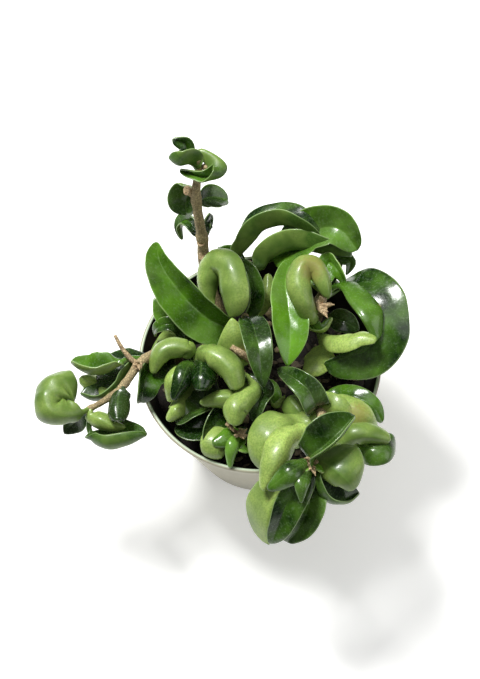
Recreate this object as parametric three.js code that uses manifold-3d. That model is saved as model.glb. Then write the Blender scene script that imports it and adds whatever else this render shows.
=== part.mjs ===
// A potted hoya of the compact kind: folded, curled, waxy leaves on woody stems, in a round nursery pot.
// Millimetres, +Z up. The origin is the centre of the pot's base, and the front is towards -Y.
import * as THREE from "three";
import { mergeVertices } from "three/addons/utils/BufferGeometryUtils.js";
import Module from "manifold-3d";

const wasm = await Module();
wasm.setup();

// Pot: a moulded plastic cup
const POT_HEIGHT = 72;
const POT_BASE_RADIUS = 35.5;
const POT_RIM_RADIUS = 54;
const POT_WALL = 1.2;
const POT_FLOOR = 2.4;
const POT_LIP = 0.6;
const POT_LIP_HEIGHT = 7;
const POT_BEVEL = 0.8;
const POT_ROUND = 0.5;
const POT_SIDES = 48;
const DRAIN_HOLES = 6;
const DRAIN_HOLE_RADIUS = 4;
const DRAIN_HOLE_RING = 24;

// Potting mix: fills the pot to about 16 mm under its rim, with broad lumps and a few raised pebbles
// The lumps are two crossed waves, in radians per millimetre, and a slanting one.
const MIX_TOP = 55;
const MIX_LUMP = 0.77;
const MIX_WAVES = { x: 0.31, y: 0.27, shift: 1.7 };
const MIX_SLANT = { x: 0.63, y: 0.52, share: 0.6 };
const MIX_RINGS = 10;
const MIX_EDGE = 0.125;
const PEBBLES = 26;
const PEBBLE_RADIUS = [2, 4];
const PEBBLE_SEED = 7;

// Clear space between two pieces that rest on each other
const GAP = 0.3;

// Holes are cut with bars of this many sides
const BAR_SIDES = 12;

// Stems: each stands upright in a hole in the mix before it follows its path
const STEM_FOOT = 40;
const FOOT_HEIGHTS = [STEM_FOOT, MIX_TOP + 1, MIX_TOP + 7];
const STEM_HOLE_TOP = MIX_TOP + 12;
const STEM_SIDES = 8;
const STEM_STEP = 8;
const STEM_RINGS = 3;

// Leaves: the petiole swells into a thick blade with a crease along its midrib.
// The shares are of the blade's length, of its width for the crease and of its thickness for the last two.
const PETIOLE_RADIUS = 1.2;
const BLADE_THICKNESS = 1.8;
const CREASE = 0.16;
const OPENING = 0.12;
const NECK = 0.25;
const FLARE = 0.3;
const THIN_END = 0.55;
const THIN_MARGIN = 0.4;
const CLOSEST_BEND = 0.85;

// Fineness: a ring each few millimetres of a leaf, with more points across a wide one
const LEAF_STEP = 7.7;
const LEAF_RINGS = [5, 11];
const WIDE_LEAF = 20;
const CURVE_SAMPLES = 96;
const LENGTH_SAMPLES = 120;
const BEND_SAMPLES = 5;
const SECTION_STEPS = 30;

// Smallest turn of a curve, in squared length, and smallest body, in cubic millimetres, that count
const LEAST_TURN = 1e-12;
const LEAST_BODY = 0.01;

const POT_TAUPE = { color: 0x8f8b7c, roughness: 0.45, metalness: 0 };
const MIX_BROWN = { color: 0x3a2e24, roughness: 0.95, metalness: 0 };
const LEAF_GREEN = { color: 0x5c8f38, roughness: 0.35, metalness: 0 };

// Pseudo-random numbers from a seed, 0 to 1
function seeded(seed) {
  let state = seed;
  return () => {
    state = (state * 1664525 + 1013904223) % 4294967296;
    return state / 4294967296;
  };
}

function material({ color, roughness, metalness }) {
  return new THREE.MeshStandardMaterial({ color, roughness, metalness });
}

// A closed solid from a geometry
function solidFrom(geometry) {
  const plain = geometry.clone();
  plain.deleteAttribute("normal");
  plain.deleteAttribute("uv");
  const merged = mergeVertices(plain, 1e-4);
  const vertProperties = merged.attributes.position.array;
  const triVerts = new Uint32Array(merged.index.array);
  return new wasm.Manifold(new wasm.Mesh({ numProp: 3, vertProperties, triVerts }));
}

// A named mesh from a solid
function meshFrom(name, solid, look) {
  const { vertProperties, triVerts } = solid.getMesh();
  const geometry = new THREE.BufferGeometry();
  geometry.setAttribute("position", new THREE.BufferAttribute(vertProperties, 3));
  geometry.setIndex(new THREE.BufferAttribute(triVerts, 1));
  geometry.computeVertexNormals();
  const mesh = new THREE.Mesh(geometry, material(look));
  mesh.name = name;
  return mesh;
}

// A profile of [radius, height] points turned about +Z, from the axis at the bottom to the axis above
function turned(profile, sides) {
  const points = profile.map(([radius, height]) => new THREE.Vector2(radius, height));
  return new THREE.LatheGeometry(points, sides).rotateX(Math.PI / 2);
}

// An upright bar from one height to another, with flats at the radius
function upright(x, y, radius, from, to) {
  const corner = radius / Math.cos(Math.PI / BAR_SIDES);
  const bar = new THREE.CylinderGeometry(corner, corner, to - from, BAR_SIDES);
  return solidFrom(bar.rotateX(Math.PI / 2).translate(x, y, (from + to) / 2));
}

// A closed solid through rings of points, which closes to a point at both ends.
// The quads of a ring's second half are split the other way, so both faces of a blade are split alike.
function loft(start, rings, end) {
  const around = rings[0].length;
  const points = [start, ...rings.flat(), end];
  const last = points.length - 1;
  const index = [];
  const at = (ring, side) => 1 + ring * around + (side % around);
  for (let side = 0; side < around; side++) {
    index.push(0, at(0, side + 1), at(0, side));
    for (let ring = 0; ring < rings.length - 1; ring++) {
      const [a, b] = [at(ring, side), at(ring, side + 1)];
      const [c, d] = [at(ring + 1, side + 1), at(ring + 1, side)];
      if (side < around / 2) index.push(a, b, c, a, c, d);
      else index.push(a, b, d, b, c, d);
    }
    index.push(last, at(rings.length - 1, side), at(rings.length - 1, side + 1));
  }
  const geometry = new THREE.BufferGeometry().setFromPoints(points);
  geometry.setIndex(index);
  return solidFrom(geometry);
}

function smoothCurve(points) {
  const curve = new THREE.CatmullRomCurve3(points, false, "centripetal");
  curve.arcLengthDivisions = LENGTH_SAMPLES;
  return curve;
}

// The value at a share of the length, from a number or from evenly spaced stations
function station(values, share) {
  if (typeof values === "number") return values;
  const place = share * (values.length - 1);
  const before = Math.min(values.length - 2, Math.floor(place));
  const part = THREE.MathUtils.smoothstep(place - before, 0, 1);
  return values[before] * (1 - part) + values[before + 1] * part;
}

// A vector mirrored in the plane that is square to an axis
function mirrored(vector, axis) {
  return vector.clone().addScaledVector(axis, (-2 * vector.dot(axis)) / axis.lengthSq());
}

// The direction of a vector's part that is square to an axis of unit length
function squareTo(vector, axis) {
  return vector.clone().addScaledVector(axis, -vector.dot(axis)).normalize();
}

// Frames along a curve with the least turning, set at its middle to face one way and then twisted
function framesAlong(curve, face, twist = 0) {
  const shares = Array.from({ length: CURVE_SAMPLES + 1 }, (_, i) => i / CURVE_SAMPLES);
  const spots = shares.map((share) => curve.getPointAt(share));
  const ahead = shares.map((share) => curve.getTangentAt(share).normalize());
  const normals = new Array(shares.length);
  const middle = CURVE_SAMPLES / 2;
  normals[middle] = squareTo(face, ahead[middle]);
  const carry = (from, to) => {
    const step = spots[to].clone().sub(spots[from]);
    const turn = ahead[to].clone().sub(mirrored(ahead[from], step));
    const normal = mirrored(normals[from], step);
    const settled = turn.lengthSq() > LEAST_TURN ? mirrored(normal, turn) : normal;
    normals[to] = squareTo(settled, ahead[to]);
  };
  for (let i = middle; i < CURVE_SAMPLES; i++) carry(i, i + 1);
  for (let i = middle; i > 0; i--) carry(i, i - 1);
  normals.forEach((normal, i) => {
    normal.applyAxisAngle(ahead[i], THREE.MathUtils.degToRad(station(twist, shares[i])));
  });
  return { spots, ahead, normals, length: curve.getLength() };
}

// The frame at a share of the length, with the curve's bend per millimetre
function frameAt({ spots, ahead, normals, length }, share) {
  const i = Math.min(CURVE_SAMPLES - 1, Math.floor(share * CURVE_SAMPLES));
  const part = share * CURVE_SAMPLES - i;
  const spot = spots[i].clone().lerp(spots[i + 1], part);
  const tangent = ahead[i].clone().lerp(ahead[i + 1], part).normalize();
  const normal = squareTo(normals[i].clone().lerp(normals[i + 1], part), tangent);
  const low = Math.max(0, i - BEND_SAMPLES);
  const high = Math.min(CURVE_SAMPLES, i + 1 + BEND_SAMPLES);
  const span = (length * (high - low)) / CURVE_SAMPLES;
  const bend = ahead[high].clone().sub(ahead[low]).divideScalar(span);
  return { spot, side: tangent.clone().cross(normal), normal, bend };
}

// One half of a leaf's cross-section, from the midrib to the margin.
// It rises from the crease by the fold angle and rolls on by the curl.
// On the inside of a tight bend it is drawn in, so that it never folds over itself.
function halfSection(hand, width, fold, curl, bend, count) {
  const slopeAt = (out) => fold * Math.min(1, out / CREASE) + curl * out;
  const points = [{ x: 0, y: 0 }];
  for (let i = 1; i <= SECTION_STEPS; i++) {
    const slope = slopeAt((i - 0.5) / SECTION_STEPS);
    const step = width / SECTION_STEPS;
    const { x, y } = points[i - 1];
    points.push({ x: x + hand * Math.cos(slope) * step, y: y + Math.sin(slope) * step });
  }
  const reach = Math.max(...points.map(({ x, y }) => bend.x * x + bend.y * y));
  const drawn = reach > CLOSEST_BEND ? CLOSEST_BEND / reach : 1;
  return Array.from({ length: count }, (_, i) => {
    const out = (i + 1) / count;
    const { x, y } = points[Math.round(out * SECTION_STEPS)];
    return { x: x * drawn, y: y * drawn, slope: slopeAt(out), out, hand };
  });
}

// A leaf: its midrib runs from the stem through the listed points, and its upper side faces one way.
// The width is whole or [left, right]. The fold and the curl are degrees, alone or as [left, right].
function leafSolid(root, [, , midrib, face, width, form]) {
  const { fold, curl = 0, twist = 0, blunt = 0.75, widest = 0.85, stalk = 0.1 } = form;
  const curve = smoothCurve([root, ...midrib.map((point) => new THREE.Vector3(...point))]);
  const frames = framesAlong(curve, new THREE.Vector3(...face).normalize(), twist);
  const both = (value) => (typeof value === "number" ? [value, value] : value);
  const halves = typeof width === "number" ? [width / 2, width / 2] : width;
  const across = halves[0] + halves[1] > WIDE_LEAF ? 3 : 2;
  const rings = THREE.MathUtils.clamp(Math.round(frames.length / LEAF_STEP), ...LEAF_RINGS);
  const sections = Array.from({ length: rings }, (_, ring) => {
    const { spot, side, normal, bend } = frameAt(frames, ring / rings);
    const along = Math.max(0, (ring / rings - stalk) / (1 - stalk));
    const fading = (share) => PETIOLE_RADIUS * Math.max(0, 1 - along / share);
    const outline = Math.sin(Math.PI * along ** widest) ** blunt;
    const open = THREE.MathUtils.degToRad(Math.min(1, along / OPENING));
    const blade = BLADE_THICKNESS * THREE.MathUtils.lerp(THIN_END, 1, outline);
    const thickness = Math.max(blade, 2 * fading(NECK));
    const flat = { x: bend.dot(side), y: bend.dot(normal) };
    const [left, right] = [-1, 1].map((hand, n) => {
      const reach = Math.hypot(halves[n] * outline, fading(FLARE));
      return halfSection(hand, reach, both(fold)[n] * open, both(curl)[n] * open, flat, across);
    });
    const place = ({ x, y, slope, out, hand }, above) => {
      const thinning = (1 - THIN_MARGIN * out ** 2) * Math.sqrt(1 - out ** 6);
      const lift = (above * thickness * thinning) / 2;
      return spot
        .clone()
        .addScaledVector(side, x - hand * Math.sin(slope) * lift)
        .addScaledVector(normal, y + Math.cos(slope) * lift);
    };
    const crease = { x: 0, y: 0, slope: 0, out: 0, hand: 1 };
    return [
      ...left.toReversed().map((point) => place(point, 1)),
      place(crease, 1),
      ...right.map((point) => place(point, 1)),
      ...right.slice(0, -1).toReversed().map((point) => place(point, -1)),
      place(crease, -1),
      ...left.slice(0, -1).map((point) => place(point, -1)),
    ];
  });
  return loft(curve.getPointAt(0), sections, curve.getPointAt(1));
}

// A stem or twig of changing radius
function twigSolid(curve, radii) {
  const frames = framesAlong(curve, new THREE.Vector3(0.3, 0.2, 1).normalize());
  const rings = Math.max(STEM_RINGS, Math.round(frames.length / STEM_STEP));
  const sections = Array.from({ length: rings + 1 }, (_, i) => {
    const { spot, side, normal } = frameAt(frames, i / rings);
    return Array.from({ length: STEM_SIDES }, (_, n) => {
      const angle = (-2 * Math.PI * n) / STEM_SIDES;
      const radius = station(radii, i / rings);
      return spot
        .clone()
        .addScaledVector(side, radius * Math.cos(angle))
        .addScaledVector(normal, radius * Math.sin(angle));
    });
  });
  return loft(curve.getPointAt(0), sections, curve.getPointAt(1));
}

// The outer skin of a solid that must be one body: hollows that its own joins sealed are filled
function oneBody(name, solid) {
  const bodies = solid.decompose().filter((body) => body.volume() > LEAST_BODY);
  if (bodies.length !== 1) throw new Error(`${name} falls into ${bodies.length} bodies`);
  return bodies[0];
}

// A leafy shoot: its twigs with all their leaves, joined into one piece.
// A twig is its path, its radii along the path and its leaves, which start at a share of its length.
// One with a foot stands in the mix there. One without leaves is a dried flower stalk or its stub.
function shoot(name, twigs) {
  const solids = twigs.flatMap(({ foot, path, radii, leaves = [] }) => {
    const footing = foot ? FOOT_HEIGHTS.map((height) => [...foot, height]) : [];
    const curve = smoothCurve([...footing, ...path].map((point) => new THREE.Vector3(...point)));
    const blades = leaves.map((leaf) => leafSolid(curve.getPointAt(leaf[1]), leaf));
    return [twigSolid(curve, radii), ...blades];
  });
  return meshFrom(name, oneBody(name, wasm.Manifold.union(solids)), LEAF_GREEN);
}

// Each leaf: [name, share of the twig's length, midrib points, way the upper side faces, width, form]
const SHOOTS = {
  tall_shoot: [
    {
      foot: [-16, 27],
      path: [[-22, 42, 84], [-22, 46, 98], [-23, 53, 126], [-21, 57, 137], [-21, 58, 142]],
      radii: [2.6, 2.6, 2.5, 2.6, 2.2, 2, 1.2],
      leaves: [
        ["tip leaf", 0.97, [[-25, 60, 144], [-26, 62.5, 147], [-31, 63, 150]],
          [0.1, -0.3, 1], 7.5, { fold: 20, curl: 15, blunt: 0.45, stalk: 0.2 }],
        ["top boat", 0.95, [[-24.5, 57.5, 141], [-29, 56, 143], [-33, 59, 144]],
          [0.1, 0.5, 0.85], [8, 6], { fold: [65, 40], curl: 15, blunt: 0.5 }],
        ["top hook", 0.97,
          [[-20, 61.5, 143], [-14.5, 58.5, 143], [-10, 54, 141], [-12.5, 51.5, 139],
            [-19, 52, 138], [-29, 56.5, 138]],
          [-0.7, 0, -0.7], 12, { fold: 50, curl: 35, twist: [0, 0, -50, -130, -150], blunt: 0.5 }],
        ["left round leaf", 0.82, [[-24, 57.5, 122], [-27.5, 56.5, 117], [-28, 52, 111]],
          [0.2, -0.3, 0.9], 19, { fold: 25, curl: 25, blunt: 0.45 }],
        ["right dark leaf", 0.8, [[-16.5, 57, 116], [-9.5, 58, 112]],
          [0, -0.3, 1], [6, 8], { fold: 25, curl: 15, blunt: 0.5 }],
        ["small left leaf", 0.6, [[-28, 57.5, 99], [-31.5, 57.5, 95], [-31.5, 53, 90]],
          [-0.3, -0.3, 0.9], 9, { fold: 35, curl: 30, blunt: 0.5 }],
        ["small right leaf", 0.62, [[-19, 55, 102], [-20, 50, 96]],
          [0.9, -0.2, 0.3], 8, { fold: 20, curl: 10 }],
      ],
    },
    {
      path: [[-23, 53, 123], [-25, 54, 125], [-27, 54, 127]],
      radii: [1.8, 1.8, 1.5],
    },
  ],
  left_back_shoot: [
    {
      foot: [-8, 16],
      path: [[-8, 14, 76], [-5, 13, 88]],
      radii: [2.3, 2.3, 2, 1.4],
      leaves: [
        ["long flat leaf", 0.62,
          [[-14, 12, 80], [-23, 14, 88], [-33.5, 22, 98], [-40.5, 32.5, 104], [-42, 42, 107]],
          [0, -0.2, 1], [14, 10], { fold: [14, 45], curl: [25, 25], blunt: 0.62, stalk: 0.08 }],
        ["big pale curl", 0.8,
          [[-19.5, 16.5, 86], [-22, 22.5, 92], [-22, 27.5, 97], [-19, 31.5, 101], [-15, 28.5, 103],
            [-14, 21.5, 102], [-13, 15.5, 99], [-11.5, 9.5, 93]],
          [0.1, 0.2, -1], [16, 12], { fold: 12, curl: 75, blunt: 0.38, widest: 2.1, stalk: 0.22 }],
        ["narrow boat", 0.7, [[-2.5, 22, 78], [-0.5, 27, 84], [-2, 34.5, 88], [-6.5, 42, 89]],
          [0.3, -0.4, 0.85], 11, { fold: [45, 40], curl: 20, blunt: 0.5 }],
        ["dark middle leaf", 0.97, [[-2.5, 3.5, 97], [-0.5, -11, 101], [0.5, -24, 92]],
          [0.1, -0.3, 1], 13.5, { fold: 14, curl: 12, stalk: 0.06, blunt: 0.65 }],
        ["small bright leaf", 0.75, [[2.5, 25.5, 74], [5, 28.5, 78], [6.5, 39, 80]],
          [0, 0.4, -0.9], 10, { fold: 10, curl: 60, blunt: 0.45, stalk: 0.3 }],
      ],
    },
  ],
  back_shoot: [
    {
      foot: [-2, 38],
      path: [[-3, 44, 70], [-2, 47, 78]],
      radii: [2.3, 2.3, 2, 1.4],
      leaves: [
        ["upper arch", 0.9,
          [[-6, 48, 82], [-1, 50.5, 88], [4.5, 54, 93], [13.5, 55, 96], [22, 51, 97], [31, 46.5, 93]],
          [0, 0.45, 0.9], [13, 10], { fold: [15, 75], curl: 15, blunt: 0.55 }],
        ["lower arch", 0.95, [[4, 42, 80], [8, 45, 84], [19.5, 46.5, 88], [32, 42, 90], [44.5, 40.5, 88]],
          [0.1, 0.6, 0.8], [12, 11], { fold: [30, 75], curl: 12, blunt: 0.5 }],
        ["glossy back leaf", 0.95, [[17, 47, 84], [28, 52, 92], [38.5, 49, 98], [46.5, 39.5, 94]],
          [0.1, 0, 1], 23, { fold: [15, 25], curl: 20, blunt: 0.45, stalk: 0.2 }],
        ["small back tip", 0.8, [[-7, 49, 78], [-9, 52, 80], [-16, 53, 82]],
          [0, -0.2, 1], 7, { fold: 20, curl: 20 }],
      ],
    },
  ],
  right_shoot: [
    {
      foot: [27, 24],
      path: [[28, 22, 72], [28, 20, 83], [30, 22, 92]],
      radii: [2.6, 2.6, 2.6, 2.6, 1.6],
      leaves: [
        ["pale hook", 0.5,
          [[23.5, 7, 90], [21, 9, 99], [19, 14, 104], [18.5, 21, 106], [21.5, 27, 107],
            [27, 26, 106], [30, 20, 103], [31, 13.5, 98]],
          [0, 0.4, -0.9], 18, { fold: 10, curl: 90, blunt: 0.45, widest: 1.25, stalk: 0.2 }],
        ["long bright leaf", 0.95,
          [[20, 34, 88], [16, 35.5, 91], [13, 25, 92], [13.5, 13.5, 92],
            [13.5, 1.5, 90], [11.5, -11.5, 85]],
          [0.1, -0.4, 0.9], [9.5, 9.5], { fold: 20, curl: 20, stalk: 0.12, blunt: 0.8, widest: 1.6 }],
        ["big ring leaf", 0.85,
          [[38, 26.5, 84], [45, 22, 92], [50.5, 11.5, 95], [51.5, 1.5, 93],
            [46.5, -6, 88], [37, -8, 84], [27.5, -9, 81]],
          [0.1, -0.5, 0.9], [14, 3], { fold: [8, 10], curl: [12, 10], blunt: 0.38, widest: 1.05 }],
        ["pale flap", 0.45, [[29, 4, 80], [32.5, -3, 89], [37.5, -5, 93], [43, -5, 96], [49.5, -7.5, 97]],
          [0, 0.5, -0.9], [5, 6], { fold: 10, curl: 25, stalk: 0.4, blunt: 0.45, widest: 1.2 }],
        ["small cup", 0.75, [[23, 14.5, 82], [23.5, 9, 81], [29, 7, 82], [33, 12, 84]],
          [0, 0.5, 0.85], 9, { fold: 45, curl: 20, blunt: 0.5 }],
        ["pale inner leaf", 0.6, [[34.5, 17, 74], [39.5, 14, 75], [45.5, 10, 74]],
          [0, -0.4, 0.9], 11, { fold: 10, curl: 15, stalk: 0.25 }],
        ["speckled strip", 0.9, [[34, 38, 88], [38, 31, 90], [40, 26, 86]],
          [0.2, -0.1, 1], 11, { fold: 20, curl: 20 }],
        ["small dark leaf", 0.85, [[38, 43, 82.5], [43.5, 41, 82.5], [42, 37, 77]],
          [0.2, -0.3, 0.9], 10, { fold: 20, curl: 20 }],
        ["pale floor leaf", 0.42, [[28, 3.5, 70], [24.5, -5, 75], [19.5, -9.5, 74]],
          [0, 0.5, -0.9], 15, { fold: 10, curl: 15, stalk: 0.5, blunt: 0.42 }],
        ["inner sheet", 0.88, [[36.5, 23.5, 91], [41, 11.5, 97], [45, 2, 99], [49.5, -6, 93]],
          [-0.1, -0.3, 0.95], [11, 1.5], { fold: [-10, 0], curl: [-30, 0], blunt: 0.4, widest: 1.05 }],
      ],
    },
    {
      path: [[29, 20, 86], [28, 16, 90], [28, 12, 93]],
      radii: [1.8, 2.3, 2.4, 1.4],
    },
  ],
  centre_shoot: [
    {
      foot: [-9, -2],
      path: [[-9, -7, 72], [-8, -11, 82]],
      radii: [2.4, 2.4, 2, 1.4],
      leaves: [
        ["pale point", 0.6, [[-8.5, -8, 84], [-9.5, -5.5, 90], [-10.5, -1.5, 96], [-11, 6, 100]],
          [0, 0.5, -0.9], 19, { fold: 8, curl: 18, blunt: 0.75, widest: 0.55, stalk: 0.42 }],
        ["pale band", 0.8, [[-7, -20.5, 84], [-12, -24.5, 86], [-19, -24.5, 86], [-27, -25, 83]],
          [0, 0.4, -1], 15, { fold: 20, curl: 60, blunt: 0.5, widest: 0.9 }],
        ["pale twist", 0.95, [[-2, -21.5, 88], [-7, -27, 91], [-11, -32.5, 92], [-12.5, -39, 88]],
          [0.2, 0.4, -0.9], 16, { fold: 12, curl: 70, widest: 2.1, blunt: 0.4, stalk: 0.12 }],
        ["bright cup", 0.6, [[3, -13, 70], [6, -24, 72], [10, -20, 75]],
          [0.1, 0.5, 0.9], 9, { fold: 40, curl: 20, stalk: 0.3 }],
        ["dark side leaf", 0.95, [[0.5, -21, 82], [-2, -28, 84], [-4.5, -34, 80]],
          [0.1, -0.4, 0.9], 11, { fold: 25, curl: 20, stalk: 0.1, blunt: 0.5 }],
      ],
    },
    {
      path: [[-12, -4.5, 93.5], [-8.5, -6.5, 91.5], [-4, -8, 86]],
      radii: [1.2, 1.7, 1.3],
    },
  ],
  left_inner_shoot: [
    {
      foot: [-25, 3],
      path: [[-27, 0, 74], [-28, -3, 86]],
      radii: [2.3, 2.3, 2, 1.4],
      leaves: [
        ["left roll", 0.97,
          [[-30, -4, 92], [-34, -3, 93], [-40, -3.5, 93], [-44, -7, 91], [-46.5, -11.5, 86]],
          [0.1, 0.4, -0.9], 18, { fold: 10, curl: 110, blunt: 0.5, stalk: 0.1 }],
        ["right roll", 0.97, [[-23, -7.5, 96], [-17, -12.5, 98], [-12.5, -18, 97], [-10.5, -24.5, 92]],
          [0, 0.4, -0.9], 29, { fold: 10, curl: 140, blunt: 0.3, widest: 1.25, stalk: 0.04 }],
        ["dark blade", 0.85, [[-31.5, -12.5, 91], [-34, -19, 91], [-38, -24.5, 86]],
          [0.1, -0.4, 0.9], [6, 5], { fold: -10, curl: -50, blunt: 0.45, stalk: 0.15 }],
        ["pale blade", 0.75, [[-34.5, -11, 88], [-39, -16.5, 88], [-40, -22.5, 80]],
          [0.3, 0.3, -0.9], 11, { fold: 15, curl: 50, blunt: 0.42 }],
        ["glossy bud leaf", 0.85, [[-25, -11, 92], [-25.5, -18.5, 95], [-26, -24.5, 94]],
          [0, -0.3, 0.9], 24, { fold: -15, curl: -95, blunt: 0.32, stalk: 0.02 }],
        ["low pale leaf", 0.6, [[-35, -21.5, 77], [-37.5, -26, 79], [-41.5, -29, 75]],
          [0, 0.4, -0.9], 11, { fold: 15, curl: 50, stalk: 0.4, blunt: 0.42 }],
        ["low dark leaf", 0.55, [[-26, -20.5, 72], [-31.5, -26.5, 76], [-38, -29.5, 73]],
          [0, -0.4, 0.9], 15, { fold: 20, curl: 15, stalk: 0.15, blunt: 0.5 }],
        ["wall hook", 0.8, [[-34, 10, 80], [-38, 13, 84], [-44, 13, 82], [-46, 12, 76]],
          [0, 0.1, 1], 8, { fold: 20, curl: 20, stalk: 0.25 }],
        ["wall strip", 0.7, [[-38, 15, 70], [-43, 10, 72], [-49, 4, 72]],
          [0, 0.5, -0.9], 8, { fold: 15, curl: 20, stalk: 0.3 }],
        ["rim leaf", 0.75, [[-33, 13, 78], [-42, 18, 84], [-45, 25, 88]],
          [0, -0.5, 0.9], 9, { fold: 20, curl: 20, stalk: 0.3 }],
        ["small dark leaf", 0.6, [[-34, 11, 68], [-30, 12, 72], [-23, 11, 70]],
          [0, -0.5, 0.9], 7, { fold: 20, curl: 20, stalk: 0.3 }],
      ],
    },
  ],
  front_inner_shoot: [
    {
      foot: [-13, -28],
      path: [[-12, -32, 66], [-10, -34, 71]],
      radii: [2, 2, 1.7, 1.3],
      leaves: [
        ["long dark leaf", 0.7, [[-16, -27, 73], [-20, -31, 76], [-23, -36.5, 76], [-24, -41.5, 73]],
          [0.3, -0.4, 0.9], [5, 7.5], { fold: 20, curl: 20, blunt: 0.5 }],
        ["rosette cup", 0.97,
          [[-15.5, -38.5, 76], [-19, -41.5, 78], [-20.5, -45, 77], [-18.5, -46.5, 73]],
          [0.1, 0.4, -0.9], 19, { fold: 10, curl: 50, blunt: 0.4 }],
        ["rosette blade", 0.97, [[-13, -42, 80], [-14.5, -46.5, 79], [-15.5, -51.5, 73]],
          [0.2, -0.3, 0.9], 6.5, { fold: -10, curl: -40, blunt: 0.5 }],
        ["rosette side leaf", 0.9, [[-11, -44, 76], [-6.5, -45, 74]],
          [0, -0.5, 0.9], 8, { fold: 20, curl: 20 }],
        ["dark rim leaf", 0.6, [[-18, -29, 66], [-25, -30.5, 69], [-31.5, -31, 70], [-37, -26.5, 68]],
          [0.3, 0.2, 0.9], [9, 7], { fold: 15, curl: 10, blunt: 0.5, stalk: 0.15 }],
        ["low dark leaf", 0.6, [[-12, -34, 68], [-8, -35, 70], [-4, -35, 68]],
          [0, -0.3, 1], 8, { fold: 20, curl: 15 }],
        ["rosette leaf", 0.97, [[-15.5, -40, 80], [-22.5, -43, 80]],
          [0, -0.3, 0.95], 9, { fold: -10, curl: -30, blunt: 0.45 }],
      ],
    },
    {
      path: [[-10, -34, 70], [-12, -37, 77], [-16, -35, 82]],
      radii: [0.9, 0.9, 0.7],
    },
  ],
  front_right_shoot: [
    {
      foot: [20, -12],
      path: [[23, -21, 76], [24, -38, 88], [20, -52, 93], [17, -61, 96]],
      radii: [2.6, 2.6, 2.6, 2.4, 2, 1.4],
      leaves: [
        ["pale round leaf", 0.5,
          [[25.5, -28.5, 84], [32, -32, 89], [38.5, -35.5, 90], [44, -39, 87], [47, -40, 80]],
          [0, 0.2, -1], [13, 6], { fold: [10, 10], curl: [25, 40], blunt: 0.5 }],
        ["dark back band", 0.45, [[32, -22.5, 78], [38, -26, 82], [45.5, -31.5, 83], [50, -37, 78]],
          [0, 0.1, 1], 11, { fold: 15, curl: 10, stalk: 0.15, blunt: 0.5 }],
        ["speckled leaf", 0.45, [[21.5, -33, 92], [19, -28.5, 96], [14.5, -23.5, 96], [7, -15, 91]],
          [0, -0.3, 1], 12.5, { fold: 18, curl: 15, stalk: 0.05, blunt: 0.6 }],
        ["pale inner leaf", 0.5, [[12, -24, 80], [15, -31, 82], [20, -37, 78]],
          [0, 0.5, -0.9], 12, { fold: 15, curl: 20 }],
        ["round front leaf", 0.65,
          [[15, -38.5, 84], [8, -40.5, 90], [2, -46.5, 91], [-0.5, -52.5, 88], [1, -58.5, 82]],
          [0.2, 0.3, -0.9], 23, { fold: [10, 15], curl: 30, blunt: 0.5 }],
        ["long front leaf", 0.75,
          [[16, -44.5, 93], [9.5, -48, 98], [5, -56, 100], [1.5, -63, 98], [-2.5, -69.5, 92]],
          [0, 0.5, -0.9], 17, { fold: 15, curl: 60, widest: 0.85, stalk: 0.15, blunt: 0.45 }],
        ["dark boat", 0.97,
          [[17.5, -59, 100], [22.5, -56.5, 103], [28.5, -52.5, 106], [35.5, -46.5, 109]],
          [-0.2, -0.2, 1], [12, 10], { fold: [30, 65], curl: 20, blunt: 0.55 }],
        ["glossy tip leaf", 0.97, [[8.5, -66.5, 103], [-1, -70.5, 96]],
          [-0.1, -0.2, 1], 11.5, { fold: -10, curl: -35, blunt: 0.6 }],
        ["tip bud", 0.98, [[15, -64, 98], [12, -66, 100]], [0.1, 0.4, 0.9], 4, { fold: 30 }],
        ["side bud", 0.98, [[20, -64, 98], [22, -66, 99]], [0.1, 0.4, 0.9], 4, { fold: 30 }],
        ["small tip leaf", 0.98, [[13, -71, 101], [12, -77, 96]],
          [0, -0.5, 0.9], 7, { fold: -10, curl: -30 }],
        ["hanging pale leaf", 0.92, [[5, -69, 90], [0.5, -74, 86], [-1.5, -79.5, 80], [-1.5, -85.5, 72]],
          [0.4, 0.4, -0.8], [13, 2.5], { fold: [12, 20], curl: 10, blunt: 0.45, stalk: 0.3, widest: 1.1 }],
        ["hanging dark leaf", 0.92, [[10.5, -69.5, 93], [6.5, -75, 90], [3, -81, 84], [-0.5, -87, 76]],
          [0, -0.5, 0.9], [7.5, 6], { fold: [15, 25], curl: 15, blunt: 0.5 }],
        ["hanging right leaf", 0.92, [[17, -64.5, 86], [15.5, -74, 86], [11.5, -81, 80], [6, -85.5, 74]],
          [0.1, -0.5, 0.9], [8, 8], { fold: [30, 20], curl: 25, blunt: 0.38 }],
        ["side roll", 0.72, [[30, -50.5, 92], [35, -51, 97], [42, -50.5, 97], [50.5, -51.5, 93]],
          [0, 0.5, -0.9], 21, { fold: 10, curl: 130, stalk: 0.15, blunt: 0.32, widest: 1.1 }],
        ["side lobe", 0.72, [[39.5, -49.5, 88], [42.5, -54, 92], [47, -53.5, 92], [52, -46, 87]],
          [0, -0.3, 0.9], [7, 7.5], { fold: -10, curl: [-30, -50], stalk: 0.3, blunt: 0.4 }],
        ["pale shell", 0.95, [[22.5, -62, 99], [26.5, -66.5, 102], [30.5, -70.5, 101], [33, -73, 96]],
          [0, 0.5, -0.9], [7, 14], { fold: 10, curl: 40, stalk: 0.05, blunt: 0.42 }],
        ["dark under leaf", 0.92,
          [[19.5, -68, 92], [22.5, -72.5, 88], [30, -73.5, 85], [36.5, -69.5, 84]],
          [0.1, 0.2, 0.9], [11, 5], { fold: [20, 70], curl: 25, blunt: 0.45 }],
        ["pale middle leaf", 0.45, [[19.5, -33, 82], [25, -32.5, 88], [30.5, -35, 91], [36.5, -38, 89]],
          [0, 0.2, -1], 14, { fold: 10, curl: 30, stalk: 0.1, blunt: 0.45 }],
      ],
    },
  ],
  left_shoot: [
    {
      foot: [-37, 8],
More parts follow.
